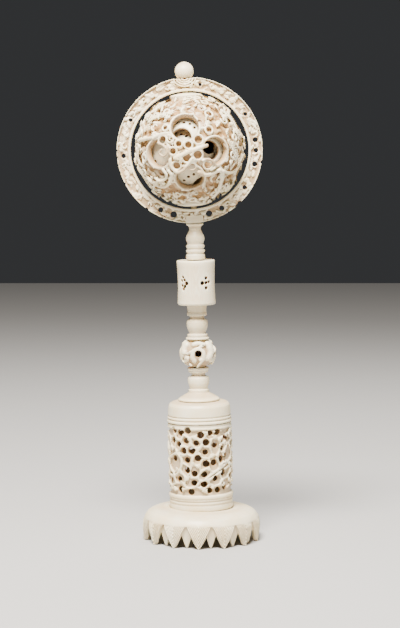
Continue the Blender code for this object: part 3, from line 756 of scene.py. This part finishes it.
def ivory(name, pale, shade_and_stain_colour):
    """Old ivory: pale where open, tan where shade is painted and where it is stained, with faint clouds,
    streaks and specks.
    """
    material = bpy.data.materials.new(name)
    material.use_nodes = True
    nodes, links = material.node_tree.nodes, material.node_tree.links

    def feed(node, settings):
        """Set a node's sockets to values, or link them to outputs of other nodes."""
        for key, value in settings.items():
            if isinstance(value, bpy.types.NodeSocket):
                links.new(value, node.inputs[key])
            else:
                node.inputs[key].default_value = value
        return node.outputs

    def noise(place, scale, detail):
        return feed(nodes.new("ShaderNodeTexNoise"), {"Vector": place, "Scale": scale, "Detail": detail})

    def spread(value, low, high):
        settings = {"Value": value, "From Min": low, "From Max": high}
        return feed(nodes.new("ShaderNodeMapRange"), settings)["Result"]

    def mix(first, second, factor):
        node = nodes.new("ShaderNodeMix")
        node.data_type = "RGBA"
        return feed(node, {"Factor": factor, "A": first, "B": second})["Result"]

    place = nodes.new("ShaderNodeTexCoord").outputs["Object"]
    stretched = feed(nodes.new("ShaderNodeMapping"), {"Vector": place, "Scale": (1.0, 1.0, 0.12)})
    clouds = noise(place, 90.0, 4.0)
    streaks = noise(stretched["Vector"], 1500.0, 3.0)
    specks = noise(place, 2600.0, 2.0)
    # The attribute turns the colour tan: painted shade in hollows, grooves and necks, together with real
    # staining
    shade_and_stain = nodes.new("ShaderNodeAttribute")
    shade_and_stain.attribute_name = "shade_and_stain"
    cloudy = tuple(c * tint for c, tint in zip(pale, CLOUD_TINT))
    streaked = tuple(c * STREAK_TINT for c in pale)
    base = mix((*pale, 1.0), (*cloudy, 1.0), spread(clouds["Fac"], 0.38, 0.68))
    base = mix(base, (*streaked, 1.0), spread(streaks["Fac"], 0.52, 0.75))
    base = mix(base, (*shade_and_stain_colour, 1.0), shade_and_stain.outputs["Fac"])
    rough = feed(nodes.new("ShaderNodeMapRange"), {"Value": clouds["Fac"], "To Min": 0.3, "To Max": 0.48})
    relief = mix(streaks["Color"], specks["Color"], 0.45)
    bump = feed(nodes.new("ShaderNodeBump"), {"Strength": 0.09, "Distance": 0.00012, "Height": relief})
    feed(nodes["Principled BSDF"], {
        "Base Color": base,
        "Roughness": rough["Result"],
        "Normal": bump["Normal"],
        "Subsurface Weight": 0.12,
        "Subsurface Radius": (1.0, 0.62, 0.36),
        "Subsurface Scale": 0.0006,
        "Metallic": 0.0,
    })
    return material


def scattered(taken, holes, rng):
    """More wells, by throwing darts at the ball and keeping those that land clear of the rest."""
    found = list(taken)
    for turn in range(WELL_TRIES):
        point = unit([rng.gauss(0, 1) for i in range(3)])
        if abs(point[2]) > cos(radians(CAP_ANGLE + 3.0)):
            continue
        if near_any(point, holes, BALL_HOLE_ANGLE + 4.6):
            continue
        if all(angle_between(point, other) > WELL_SPACING for other in found):
            found.append(point)
    return found[len(taken):]


def spread_over_sphere(count, rng):
    """Directions spaced evenly over the sphere along a spiral, each moved a little."""
    golden = pi * (3.0 - sqrt(5.0))
    for i in range(count):
        height = 1.0 - 2.0 * (i + 0.5) / count
        across = sqrt(1.0 - height * height)
        spot = np.array((across * cos(golden * i), across * sin(golden * i), height))
        yield unit(spot + [rng.gauss(0.0, 0.03) for axis in range(3)])


def ball_ground(block, holes):
    """An uneven bed, plain caps round the two pivots, and the conical holes with their collars."""
    cuts, x, y, z = block.grid()
    radius = length_of(x, y, z)
    waves = np.sin(1.1 * x + 0.7 * z + 1.0) * np.sin(1.2 * y - 0.5 * z)
    waves = waves + np.sin(1.3 * z + 0.6 * y) * np.sin(0.9 * x)
    block.join(cuts, most(radius - BALL_GROUND - 0.45 - 0.4 * waves, BALL_INSIDE - radius), 0.2)
    edge = cos(radians(CAP_ANGLE)) * radius - np.abs(z)
    block.join(cuts, most(radius - BALL_RADIUS + 0.1, BALL_INSIDE - radius, edge), 0.2)
    for axis in holes:
        near, px, py, pz = block.grid(axis * 23.0 - 9.5, axis * 23.0 + 9.5)
        away = length_of(px, py, pz)
        rim = cos(radians(BALL_HOLE_ANGLE + COLLAR_ANGLE))
        edge = rim * away - (px * axis[0] + py * axis[1] + pz * axis[2])
        block.join(near, most(away - LEAF_LEVEL, BALL_INSIDE - away, edge), 0.4)
        cone_hole(block, axis, BALL_HOLE_ANGLE, BALL_INSIDE - 3.0, BALL_RADIUS + 3.0)


def ball_wells(block, holes, rng):
    """Places and radii of the round wells, seen and scattered; some of them get a raised rim."""
    wells = [(from_photo(column, row), width * PIXEL / 2) for column, row, width in WELLS_SEEN]
    for axis in scattered([axis for axis, size in wells], holes, rng):
        wells.append((axis, rng.uniform(0.8, 1.1) if axis[1] < -0.3 else rng.uniform(0.9, 1.5)))
    for number, (axis, size) in enumerate(wells):
        if number >= RIMMED_WELLS and rng.random() < PLAIN_WELL_SHARE:
            continue
        rim = circle(axis, degrees((size + 0.4) / LEAF_LEVEL), 14)
        level = LEAF_LEVEL + rng.uniform(-0.4, 0.15)
        block.path([p * level for p in rim], rng.uniform(0.32, 0.42), None, 0.4)
    return wells


def ball_leaves(block, holes, wells, rng):
    """Leaves all over the ball, running round the nearest well or away from it."""
    for spot in spread_over_sphere(BALL_LEAVES, rng):
        if abs(spot[2]) > cos(radians(CAP_ANGLE + 2.0)):
            continue
        if near_any(spot, holes, BALL_HOLE_ANGLE + 1.0):
            continue
        gaps = [angle_between(spot, axis) - degrees(size / LEAF_LEVEL) for axis, size in wells]
        nearest = int(np.argmin(gaps))
        if gaps[nearest] < 0.8:
            continue
        well = wells[nearest][0]
        heading = unit(np.cross(spot, well)) * rng.choice((-1.0, 1.0))
        heading = heading + unit(spot - well) * rng.uniform(-0.2, 1.6)
        length = rng.uniform(2.0, 3.7)
        root = spot * (LEAF_LEVEL + rng.uniform(-1.2, 0.3))
        tip = unit(root + unit(heading) * length)
        if near_any(tip, holes, BALL_HOLE_ANGLE - 1.0):
            continue
        leaf(block, root, heading, spot, length, rng.uniform(0.7, 1.25), 0.29, rng.uniform(0.1, 1.3))


def ball_curls(block, holes, rng):
    """Tendrils that curl in on themselves."""
    marks = 72
    for spot in spread_over_sphere(BALL_CURLS, rng):
        if near_any(spot, holes, BALL_HOLE_ANGLE + 4.0):
            continue
        coil = []
        for i in range(15):
            mark = int(i * 0.55 * marks / (2 * pi)) % marks
            coil.append(circle(spot, 4.6 - 0.26 * i, marks)[mark] * (24.2 + 0.03 * i))
        block.path(coil, 0.42, 0.3, 0.12)


def make_outer_ball(place, material):
    """Leaves, tendrils and winding stems in high relief, with round wells down to a sunk ground."""
    rng = random.Random(7)
    block = shell_block(BALL_GROUND, BALL_INSIDE, BALL_STEP, BALL_RADIUS)
    holes = hole_axes(BALL_HOLES)
    ball_ground(block, holes)
    wells = ball_wells(block, holes, rng)
    ball_leaves(block, holes, wells, rng)
    ball_curls(block, holes, rng)
    for axis, size in wells:
        block.drill(axis * (BALL_GROUND + 0.05), axis * 27.0, size, 0.12)
    for spots in RECESSES_SEEN:
        block.path(on_ball(spots, BALL_RADIUS - 1.1), 0.9, 0.8, 0.2, cut=True)
    for spots, start, end in STEMS_SEEN:
        block.path(on_ball(spots, BALL_RADIUS - 0.15 - start), start, end, 0.15)
    for spots, width in FRONDS_SEEN:
        frond(block, on_ball(spots, BALL_RADIUS - 0.5, 4), width)
    for pole in (1.0, -1.0):
        block.bore((0, 0, pole * 19.0), (0, 0, pole * 27.0), PIVOT_BORE, 0.1)
    cuts, x, y, z = block.grid()
    block.trim(length_of(x, y, z) - BALL_RADIUS)

    # Painted shade, with real staining, deep below the leaves; painted shade on the walls of the big
    # holes
    def sunk(points):
        reach = np.linalg.norm(points, axis=1)
        facing = np.max(points @ np.array(holes).T, axis=1) / reach
        cone_wall = 0.62 * (facing > cos(radians(BALL_HOLE_ANGLE + 0.7)))
        return np.maximum(23.75 - reach, cone_wall)

    carved_piece("ball_carved", block, place, material, sunk)


def make_inner_ball(number, place, material):
    """A thin plain shell with conical holes, each ringed by small drilled dots."""
    outer, inside = SHELL_RADII[number]
    block = shell_block(outer, inside, SHELL_STEP, outer)
    seen = [from_photo(*spot, outer) for spot in DOTS_SEEN[number]]
    dots = list(seen)
    for axis in hole_axes(SHELL_HOLES[number]):
        cone_hole(block, axis, SHELL_HOLE_ANGLES[number], inside - 3.0, outer + 3.0)
        guessed = circle(axis, SHELL_DOT_ANGLES[number], SHELL_DOTS_ROUND)[1:]
        dots += [dot for dot in guessed if not near_any(dot, seen, DOTS_SEEN_ANGLE)]
    for dot in dots:
        block.bore(dot * (inside - 0.5), dot * (outer + 0.5), SHELL_DOT, 0.05)

    # Painted shade: darker below the outer face, so in the dots, the holes and on the inside
    def sunk(points):
        return (outer - 0.15 - np.linalg.norm(points, axis=1)) / 0.4

    carved_piece("inner_ball_" + str(number + 2) + "_pierced", block, place, material, sunk)


def lifted(place, height):
    return place @ Matrix.Translation((0.0, 0.0, height * MM))


def frames():
    """Matrices of the base, the tower's pieces, the wheel and the balls, as in the solids."""
    lean = Matrix.Rotation(-radians(TOWER_LEAN), 4, "Y")
    more = Matrix.Rotation(-radians(RING_LEAN - TOWER_LEAN), 4, "Y")
    found = {"ground": Matrix.Translation((GROUND_X * MM, 0.0, 0.0))}
    tower = lifted(found["ground"], SEAT_HEIGHT) @ lean
    level = 0.0
    for name, height in TOWER.items():
        found[name] = lifted(tower, level)
        level += height + GAP
    found["wheel"] = lifted(tower, level) @ more
    found["ring"] = lifted(found["wheel"], RING_OUTER)
    for number in range(3):
        lift = RING_OUTER + BALL_LIFT - SHELL_DROP * number
        found["ball_" + str(number + 1)] = lifted(found["wheel"], lift)
    return found


def on_tube(column, row):
    """Degrees round the tube from the front, and height up it, from a place in the photograph."""
    turn = 0.0
    for step in range(REFINEMENTS):
        scale = 1.0 - TUBE_RADIUS * cos(radians(turn)) / CAMERA_DISTANCE
        height = CAMERA_HEIGHT + ((GROUND_ROW - row) * PIXEL - CAMERA_HEIGHT) * scale
        axis = GROUND_X - (height - SEAT_HEIGHT) * tan(radians(TOWER_LEAN))
        across = CAMERA_X + (column - MIDDLE_COLUMN) * PIXEL * scale - axis
        turn = degrees(asin(max(-0.98, min(0.98, across / TUBE_RADIUS))))
    return turn, height - SEAT_HEIGHT


def round_tube(turn, height, radius):
    heading = radians(turn)
    return np.array((radius * sin(heading), -radius * cos(heading), height))


def unrolled(around, height, radius):
    """A point on the tube, from the way round it in millimetres."""
    return round_tube(360.0 * around / TUBE_AROUND, height, radius)


def tube_holes(rng):
    """Places of the round holes, as way round and height: those seen, and more where none is seen."""
    seen = [on_tube(*spot) for spot in TUBE_HOLES_SEEN]
    holes = [((turn % 360.0) / 360.0 * TUBE_AROUND, height) for turn, height in seen]
    front = [round_tube(turn, height, TUBE_RADIUS) for turn, height in seen]
    drop = (CAMERA_HEIGHT - SEAT_HEIGHT - TUBE_HEIGHT / 2) / CAMERA_DISTANCE
    for step in range(TUBE_TRIES):
        u, v = rng.uniform(0, TUBE_AROUND), rng.uniform(8.2, 34.6)
        gap = min(hypot(min(abs(u - a), TUBE_AROUND - abs(u - a)), v - b) for a, b in holes)
        facing = cos(2 * pi * u / TUBE_AROUND)
        # Through a front hole the photograph shows the wall behind, so no hole lies on that line
        back = unrolled(u, v, TUBE_RADIUS)
        through = min(hypot(back[0] - f[0], back[2] - f[2] + drop * (back[1] - f[1])) for f in front)
        if gap > (3.7 if facing < 0.15 else 6.0) and (facing > 0.0 or through > 2.5):
            holes.append((u, v))
    return holes


def flat_net(points, width):
    """Lines between the middles of neighbouring triangles of points on a sheet that closes on itself."""
    copies = [Vector((u + k * width, v)) for k in (-1, 0, 1) for u, v in points]
    faces = delaunay_2d_cdt(copies, [], [], 0, 1e-6)[2]
    owners = {}
    for number, face in enumerate(faces):
        for a, b in zip(face, face[1:] + face[:1]):
            owners.setdefault(frozenset((a, b)), []).append(number)
    middles = [sum((copies[i] for i in face), Vector((0.0, 0.0))) / len(face) for face in faces]
    lines = []
    for pair in owners.values():
        if len(pair) == 2:
            a, b = middles[pair[0]], middles[pair[1]]
            if 0.0 <= (a.x + b.x) / 2 < width and (a - b).length < 8.0:
                lines.append((tuple(a), tuple(b)))
    return lines


def tube_net(block, holes, rng):
    """Stems between the holes, most of them with a leaf."""
    for (ua, va), (ub, vb) in flat_net(holes, TUBE_AROUND):
        if not (7.4 < va < 35.4 and 7.4 < vb < 35.4):
            continue
        thick = rng.uniform(0.36, 0.5)
        top = TUBE_GROUND + rng.uniform(0.1, 0.55)
        bow = rng.uniform(-0.35, 0.35)
        start, end = unrolled(ua, va, top), unrolled(ub, vb, top)
        middle = unrolled((ua + ub) / 2 + bow, (va + vb) / 2 + bow, top + 0.1)
        block.path(curve_through([start, middle, end], 3), thick, None, 0.1)
        if rng.random() < 0.8:
            normal = unit(middle * (1, 1, 0))
            heading = unit(end - start) + np.array((0, 0, rng.uniform(-1, 1)))
            length, width = rng.uniform(1.5, 2.4), rng.uniform(0.6, 0.95)
            leaf(block, middle + normal * 0.3, heading, normal, length, width, 0.3, 0.35)


def make_tube(place, material):
    """The pierced tube: stems and leaves between many round holes, with turned rings and dotted rows."""
    rng = random.Random(11)
    inside = TUBE_RADIUS - TUBE_WALL
    block = turned_block([
        (inside, TUBE_HEIGHT), (13.8, TUBE_HEIGHT), (14.05, 37.1), (13.8, 36.7), (TUBE_RADIUS, 36.3),
        (TUBE_RADIUS, 35.9), (TUBE_GROUND, 35.6), (TUBE_GROUND, 7.0), (TUBE_RADIUS, 6.7), (14.2, 5.6),
        (13.75, 5.2), (14.1, 4.8), (13.6, 4.3), (13.7, 3.9), (14.0, 3.4), (13.6, 2.6), (13.9, 1.9),
        (13.9, 0.0), (inside, 0.0),
    ], TUBE_STEP)
    holes = tube_holes(rng)
    tube_net(block, holes, rng)
    for spots in TUBE_STEMS_SEEN:
        run = [round_tube(*on_tube(*spot), TUBE_GROUND + 0.55) for spot in spots]
        block.path(curve_through(run, 5), 0.6, 0.5, 0.1)
    for u, v in holes:
        size = rng.uniform(1.25, 1.55)
        tilt = rng.uniform(-0.35, 0.35)
        start, end = unrolled(u, v, inside - 1.0), unrolled(u + tilt, v + tilt, TUBE_RADIUS + 1.0)
        block.bore(start, end, size * 0.92, 0.15, size * 1.05)
    for level in TUBE_DOT_ROWS:
        for i in range(TUBE_DOTS):
            dot = round_tube(360.0 * i / TUBE_DOTS, level, TUBE_DOT_RADIUS)
            block.bore(dot, dot * DOT_STRETCH, TUBE_DOT, 0.0)
    cuts, x, y, z = block.grid()
    block.trim(np.hypot(x, y) - (TUBE_RADIUS + 0.25))

    # Painted shade, with real staining, on the sunk ground between the stems and in the holes
    def sunk(points):
        return (TUBE_RADIUS - 0.4 - off_axis(points)) / 0.9 * (abs(points[:, 2] - NET_MIDDLE) < NET_HALF)

    carved_piece("tube_carved", block, place, material, sunk)


def beside(turn, phase, face):
    """How far round the outside a place lies from the middle of its leaf."""
    return np.abs(np.radians((turn - phase + LEAF_PITCH / 2) % LEAF_PITCH - LEAF_PITCH / 2)) * face


def barbs(side, height):
    """Slanting grooves that meet in the middle of a leaf, from -0.25 in the groove to 0.25."""
    return np.abs(((height - side * 1.9) / 1.5) % 1.0 - 0.5) - 0.25


def leaf_band(grid, phase, spread, power, face, thick, top, rib, teeth):
    """Leaves side by side, pointed at the ground; near their top they reach spread to each side."""
    x, y, z = grid
    radius = np.hypot(x, y)
    side = beside(np.degrees(np.arctan2(x, -y)), phase, face)
    half = 0.14 + spread * np.maximum(z / 8.2, 0.0) ** power
    half = half + teeth * (np.abs(((z + side * 0.4) / 0.9) % 1.0 - 0.5) - 0.25)
    if rib > 0.0:
        fade = np.clip((10.4 - z) / 1.5, 0.0, 1.0)
        face = face + fade * rib * barbs(side, z) - 0.22 * np.clip(side / 5.0, 0.0, 1.0) ** 2
        face = face + fade * 0.22 * np.exp(-((side / 0.35) ** 2))
    return most((side - half) * 0.85, radius - face, face - thick - radius, z - top, -z)


def make_base(place, material):
    """The dome, with serrated and ribbed leaves hanging over a row of narrower plain ones."""
    seat = SEAT_HEIGHT - GAP
    block = turned_block([
        (0, seat), (14.3, seat), (14.35, 14.1), (14.6, 14.3), (14.9, 14.3), (15, 13.95), (15.3, 14.25),
        (17.0, 14.1), (19.0, 13.85), (20.5, 13.5), (22.0, 13.0), (23.0, 12.5), (23.7, 12.0), (24.2, 11.4),
        (24.9, 10.4), (25.2, 9.6), (22.9, 9.4), (21.2, BASE_UNDERSIDE), (0.0, BASE_UNDERSIDE),
    ], BASE_STEP, 26.2, 0.0)
    cuts, *grid = block.grid()
    swell = np.interp(grid[2], (0.0, 5.5, 8.0, 9.3, 10.4, 11.4), (25.35, 25.75, 25.55, 25.3, 24.9, 24.2))
    block.join(cuts, leaf_band(grid, LEAF_PHASE, 4.6, 0.76, swell, 1.5, 10.4, 1.7, 0.6), 0.1)
    inner = 23.3 + 1.0 * np.clip(grid[2] / 9.0, 0.0, 1.0)
    between = LEAF_PHASE + LEAF_PITCH / 2
    block.join(cuts, leaf_band(grid, between, 2.8, 0.8, inner, 1.3, 10.0, 0.0, 0.25), 0.1)
    for number in range(LEAF_COUNT):
        for share in (-0.42, 0.42):
            heading = radians(LEAF_PHASE + (number + share) * LEAF_PITCH)
            spot = np.array((sin(heading), -cos(heading), 0.0)) * 25.3 + np.array((0, 0, 10.2))
            block.bore(spot, spot * (1.02, 1.02, 0.985), 0.34, 0.15)

    # Painted shade in the slanting grooves of the outer leaves, and a little on the inner leaves and
    # under the dome
    def sunk(points):
        side = beside(np.degrees(np.arctan2(points[:, 0], -points[:, 1])), LEAF_PHASE, LEAF_FACE)
        groove = np.clip(0.05 - 3.0 * barbs(side, points[:, 2]), 0.0, 0.5)
        low = points[:, 2] < 9.6
        outer = (off_axis(points) > 24.9) & low
        return groove * outer + 0.12 * (~outer & low)

    carved_piece("base_carved", block, place, material, sunk)


def on_knop(column, row, level):
    """A point so far from the small ball's middle, from a place on it in the photograph."""
    across, up = (column - KNOP_PIXEL[0]) * PIXEL, (KNOP_PIXEL[1] - row) * PIXEL
    depth = sqrt(max(0.0, KNOP_RADIUS ** 2 - across ** 2 - up ** 2))
    look_down = atan2(CAMERA_HEIGHT - KNOP_ABOVE_GROUND, CAMERA_DISTANCE)
    return unit(Matrix.Rotation(-look_down, 3, "X") @ Vector((across, -depth, up))) * level


def make_knop(place, material):
    """The small hollow ball of fat curling lobes; the traced third is repeated round it."""
    middle = np.array((0.0, 0.0, KNOP_HEIGHT / 2))
    block = Block((-8.4, -8.4, 0.0), (8.4, 8.4, KNOP_HEIGHT), KNOP_STEP)
    cuts, x, y, z = block.grid()
    radius = np.sqrt(x * x + y * y + (z - middle[2]) ** 2)
    bed = radius - KNOP_RADIUS + 1.4
    block.join(cuts, most(bed, KNOP_RADIUS - KNOP_WALL - 0.4 - radius), 0.0)
    block.join(cuts, most(bed, KNOP_HEIGHT / 2 - 1.6 - np.abs(z - middle[2])), 0.0)

    def draw(spots, turning, below, steps, thick, blend, cut=False):
        run = curve_through([turning @ on_knop(*spot, KNOP_RADIUS - below) for spot in spots], steps)
        block.path([middle + spot for spot in run], thick, None, blend, cut)

    for third in range(3):
        turning = np.array(Matrix.Rotation(radians(120.0 * third), 3, "Z"))
        for spots, below, thick in KNOP_LOBES_SEEN:
            draw(spots, turning, below, 4, thick, 0.26)
        for spots, thick in KNOP_CUTTINGS_SEEN:
            draw(spots, turning, 0.3, 3, thick, 0.06, cut=True)
        front = turning @ on_knop(*KNOP_HOLE_SEEN, 1.0)
        block.bore(middle + front * 4.0, middle + front * 9.5, 1.5, 0.15)
        behind = turning @ direction(-18.0, 60.0)
        block.bore(middle + behind * 5.0, middle + behind * 9.0, 0.9, 0.15)
    block.trim(most(z - KNOP_HEIGHT, -z, np.hypot(np.hypot(x, y), z - middle[2]) - KNOP_RADIUS))

    # Painted shade, with real staining, deep in the small ball between its lobes
    def sunk(points):
        deep = (KNOP_RADIUS - 0.65 - np.linalg.norm(points - middle, axis=1)) / 0.95
        return deep * (np.abs(points[:, 2] - middle[2]) < middle[2] - 0.3)

    carved_piece("knop_carved", block, place, material, sunk)


def make_drum(place, material):
    """The waisted hollow drum, pierced with crosses of holes and flowers of petals in turn."""
    top = DRUM_HEIGHT
    outline = [
        (0.0, top - 0.2), (7.2, top - 0.2), (7.55, top), (8.0, top), (8.3, top - 0.35), (8.36, top - 0.9),
    ]
    for i in range(1, 10):
        share = i / 10
        outline.append((8.36 - 0.3 * sin(pi * share), (top - 0.9) * (1 - share) + 0.7 * share))
    outline += [
        (8.35, 0.7), (7.95, 0.0), (0.0, 0.0), (0.0, DRUM_WALL), (6.4, DRUM_WALL), (6.4, top - DRUM_WALL),
        (0.0, top - DRUM_WALL),
    ]
    block = turned_block(outline, DRUM_STEP)
    middle = top / 2
    for number, heading in enumerate(FLOWER_ANGLES):
        for shift, rise, size in (PETALS if number % 2 == 0 else CROSS):
            out = direction(0.0, heading + degrees(shift / DRUM_RADIUS))
            level = (0, 0, middle + rise)
            size = DRUM_HOLE_SCALE * size + DRUM_HOLE_EXTRA
            block.bore(out * 5.4 + level, out * 9.4 + level, size, 0.05)

    # Painted shade in the holes and inside the drum
    def sunk(points):
        return (8.0 - off_axis(points)) * 3.0 * (np.abs(points[:, 2] - middle) < middle - 0.5)

    carved_piece("drum_pierced", block, place, material, sunk)


def on_ring(clock, rho, depth):
    turn = radians(clock)
    return np.array((rho * sin(turn), depth, rho * cos(turn)))


def ring_foliage(block, side, rng):
    """Small leaves and curls on one face, and the crescents of the half medallion under the finial."""
    level = side * (RING_HALF - 0.6)
    normal = np.array((0.0, side, 0.0))
    for i in range(RING_LEAVES):
        clock = i * 360.0 / RING_LEAVES + rng.uniform(-1.0, 1.0)
        rho = rng.uniform(RING_INNER + 1.5, RING_OUTER - 1.0)
        if abs((clock + 180.0) % 360.0 - 180.0) < 8.0:
            continue
        root = on_ring(clock, rho, level + side * rng.uniform(-0.45, 0.25))
        heading = on_ring(clock + rng.choice((-3.0, 3.0)), rho + rng.uniform(-1.6, 1.6), level) - root
        length, width = rng.uniform(1.6, 3.0), rng.uniform(0.5, 0.9)
        leaf(block, root, heading, normal, length, width, 0.3, rng.uniform(0.0, 0.35))
    for i in range(RING_CURLS):
        clock = i * 360.0 / RING_CURLS + rng.uniform(-4.0, 4.0)
        rho, size = rng.uniform(28.2, 29.6), rng.uniform(0.8, 1.5)
        middle = on_ring(clock, rho, side * (RING_HALF - 0.45))
        first = rng.uniform(0.0, 6.0)
        curl = []
        for j, t in enumerate(np.linspace(0.0, 4.4, 12)):
            arm = np.array((cos(first + t), 0.0, sin(first + t)))
            curl.append(middle + arm * size * (1.0 - 0.05 * j))
        block.path(curl, 0.36, 0.3, 0.1)
    for size in CRESCENTS:
        run = [np.array((size * 1.25 * cos(t), side * (RING_HALF - 0.3), 31.7 - size * sin(t)))
               for t in np.linspace(0.12, pi - 0.12, 13)]
        block.path(run, 0.33, None, 0.1)


def ring_edge(block, rng):
    """Shallow notches in the edge, closer together in the lower half, and the deep ones that are seen."""
    through = np.array((0, RING_HALF + 0.4, 0))
    clock = 0.0
    while clock < 360.0:
        low = cos(radians(clock)) < 0.2
        clock += rng.uniform(3.0, 9.0) if low else rng.uniform(7.0, 16.0)
        size = rng.uniform(0.3, 0.6)
        notch = on_ring(clock, RING_OUTER + size * rng.uniform(0.2, 0.6), 0.0)
        slant = on_ring(clock + rng.uniform(-2.0, 2.0), RING_OUTER + 0.2, 0.0) - notch
        block.bore(notch - through, notch + slant + through, size, 0.1)
    for clock, size in RING_NOTCHES:
        notch = on_ring(clock, RING_OUTER + 0.3, 0.0)
        block.bore(notch - through, notch + through, size, 0.1)


def make_ring(place, material):
    """The flat ring: a plain inner border, shallow carved foliage and a plain block at the bottom."""
    rng = random.Random(3)
    reach = RING_OUTER + 0.2
    block = Block((-reach, -RING_HALF - 0.2, -reach), (reach, RING_HALF + 0.2, reach), RING_STEP)
    cuts, x, y, z = block.grid()
    radius = np.hypot(x, z)
    face = RING_HALF - 1.0 * ((radius > RING_INNER + 1.0) & (radius < RING_OUTER - 0.5))
    block.join(cuts, most(radius - RING_OUTER + 0.1, RING_INNER - radius, np.abs(y) - face), 0.0)
    for side in (-1.0, 1.0):
        ring_foliage(block, side, rng)
    ring_edge(block, rng)
    block_middle = np.abs(z + RING_OUTER - BLOCK_HEIGHT / 2)
    sides = most(np.abs(x) - BLOCK_WIDTH / 2, np.abs(y) - RING_HALF)
    block.join(cuts, most(sides, block_middle - BLOCK_HEIGHT / 2), 0.15)
    for clock, size in RING_HOLES:
        start = on_ring(clock, RING_HOLE_LINE, -RING_HALF - 1.0)
        block.bore(start, on_ring(clock, RING_HOLE_LINE, RING_HALF + 1.0), size, 0.2)
    for pole in (-1.0, 1.0):
        block.bore((0, 0, pole * (RING_OUTER + 1)), (0, 0, pole * (RING_INNER - 2)), PEG_BORE, 0.0)
    flat_top = z - RING_OUTER + 0.5
    block.trim(most(radius - RING_OUTER, flat_top, RING_INNER - radius, np.abs(y) - RING_HALF))

    # Painted shade, with real staining, on the sunk faces between the foliage
    def sunk(points):
        across = np.hypot(points[:, 0], points[:, 2])
        carved = (across > RING_INNER + 0.85) & (across < RING_OUTER - 0.35)
        carved &= points[:, 2] > BLOCK_HEIGHT - RING_OUTER
        return (RING_HALF - 0.4 - np.abs(points[:, 1])) / 0.75 * carved

    carved_piece("ring_carved", block, place, material, sunk)


def make_turned(places, pale, shade_painted):
    """The plain pieces from the lathe; both pegs end inside the ball's wall."""
    for name, (node, where, steps, outline) in TURNED.items():
        # The middle stem, under the drum, gets the copy with painted shade
        material = shade_painted if node == "middle_stem" else pale
        turned_piece(name, outline, places[where], material, node, steps, TURNED_EDGE)
    foot = 2 * RING_OUTER - 0.5 + GAP
    centre = foot + FINIAL_RADIUS * sin(radians(FINIAL_FOOT_ANGLE))
    peg_end = RING_OUTER + BALL_LIFT + BALL_RADIUS - PEG_DEPTH
    outline = [(0.0, FINIAL_RADIUS)]
    for i in range(1, FINIAL_BANDS + 1):
        lat = radians(90.0 - (90.0 + FINIAL_FOOT_ANGLE) * i / FINIAL_BANDS)
        outline.append((FINIAL_RADIUS * cos(lat), FINIAL_RADIUS * sin(lat)))
    outline += [(PEG_RADIUS, foot - centre), (PEG_RADIUS, peg_end - centre), (0.0, peg_end - centre)]
    turned_piece("finial_turned", outline, lifted(places["wheel"], centre), pale, "finial", 96, 0.12)
    high = RING_OUTER + BALL_LIFT - BALL_RADIUS + PEG_DEPTH
    outline = [(0.0, high - PIVOT_SEAT), (PEG_RADIUS, high - PIVOT_SEAT), (PEG_RADIUS, 0.0), (0.0, 0.0)]
    place = lifted(places["wheel"], PIVOT_SEAT)
    # The pivot, inside the ball, gets the copy with painted shade
    turned_piece("pivot_turned", outline, place, shade_painted, "lower_pivot", 48, 0.1)


def lamp(name, spot, aim, size, power, warmth):
    light = bpy.data.lights.new(name, "AREA")
    light.shape = "RECTANGLE"
    light.size, light.size_y = size
    light.energy = power
    light.color = (1.0, 0.5 + 0.5 * warmth, warmth)
    obj = new_object(name, light)
    obj.location = spot
    obj.rotation_mode = "QUATERNION"
    obj.rotation_quaternion = (Vector(aim) - Vector(spot)).to_track_quat("-Z", "Y")


def make_stage():
    """A plain pale floor, soft light and the camera."""
    mesh = bpy.data.meshes.new("floor")
    corners = [(x * FLOOR_REACH, y * FLOOR_REACH, 0) for x, y in ((-1, -1), (1, -1), (1, 1), (-1, 1))]
    mesh.from_pydata(corners, [], [(0, 1, 2, 3)])
    grey = bpy.data.materials.new("floor_grey")
    grey.use_nodes = True
    grey.node_tree.nodes["Principled BSDF"].inputs["Base Color"].default_value = FLOOR_COLOUR
    grey.node_tree.nodes["Principled BSDF"].inputs["Roughness"].default_value = 0.7
    mesh.materials.append(grey)
    new_object("floor", mesh)
    world = bpy.data.worlds.new("studio")
    world.use_nodes = True
    world.node_tree.nodes["Background"].inputs["Color"].default_value = STUDIO_COLOUR
    world.node_tree.nodes["Background"].inputs["Strength"].default_value = STUDIO_STRENGTH
    bpy.context.scene.world = world
    for name, settings in LAMPS.items():
        lamp(name, *settings)
    camera = bpy.data.cameras.new("camera")
    camera.sensor_width = SENSOR_WIDTH
    camera.lens = SENSOR_WIDTH / 2 / tan(radians(VIEW_HEIGHT / 2))
    camera.shift_y = CAMERA_SHIFT
    obj = new_object("camera", camera)
    obj.location = (CAMERA_X * MM, -CAMERA_DISTANCE * MM, CAMERA_HEIGHT * MM)
    obj.rotation_euler = (radians(90.0 - CAMERA_PITCH), 0.0, 0.0)
    bpy.context.scene.camera = obj


def main():
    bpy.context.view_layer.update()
    places = frames()
    pale = ivory("ivory_pale", *PALE)
    # The darker copy paints shade on the pieces that lie in shadow: the middle stem, the pivot and the
    # inner shells
    shade_painted = ivory("ivory_painted_shade", *SHADE_PAINTED)
    make_stage()
    make_base(places["ground"], pale)
    make_tube(places["tube"], pale)
    make_knop(places["knop"], pale)
    make_drum(places["drum"], pale)
    make_turned(places, pale, shade_painted)
    make_ring(places["ring"], pale)
    make_outer_ball(places["ball_1"], pale)
    for number in range(2):
        make_inner_ball(number, places["ball_" + str(number + 2)], shade_painted)


main()
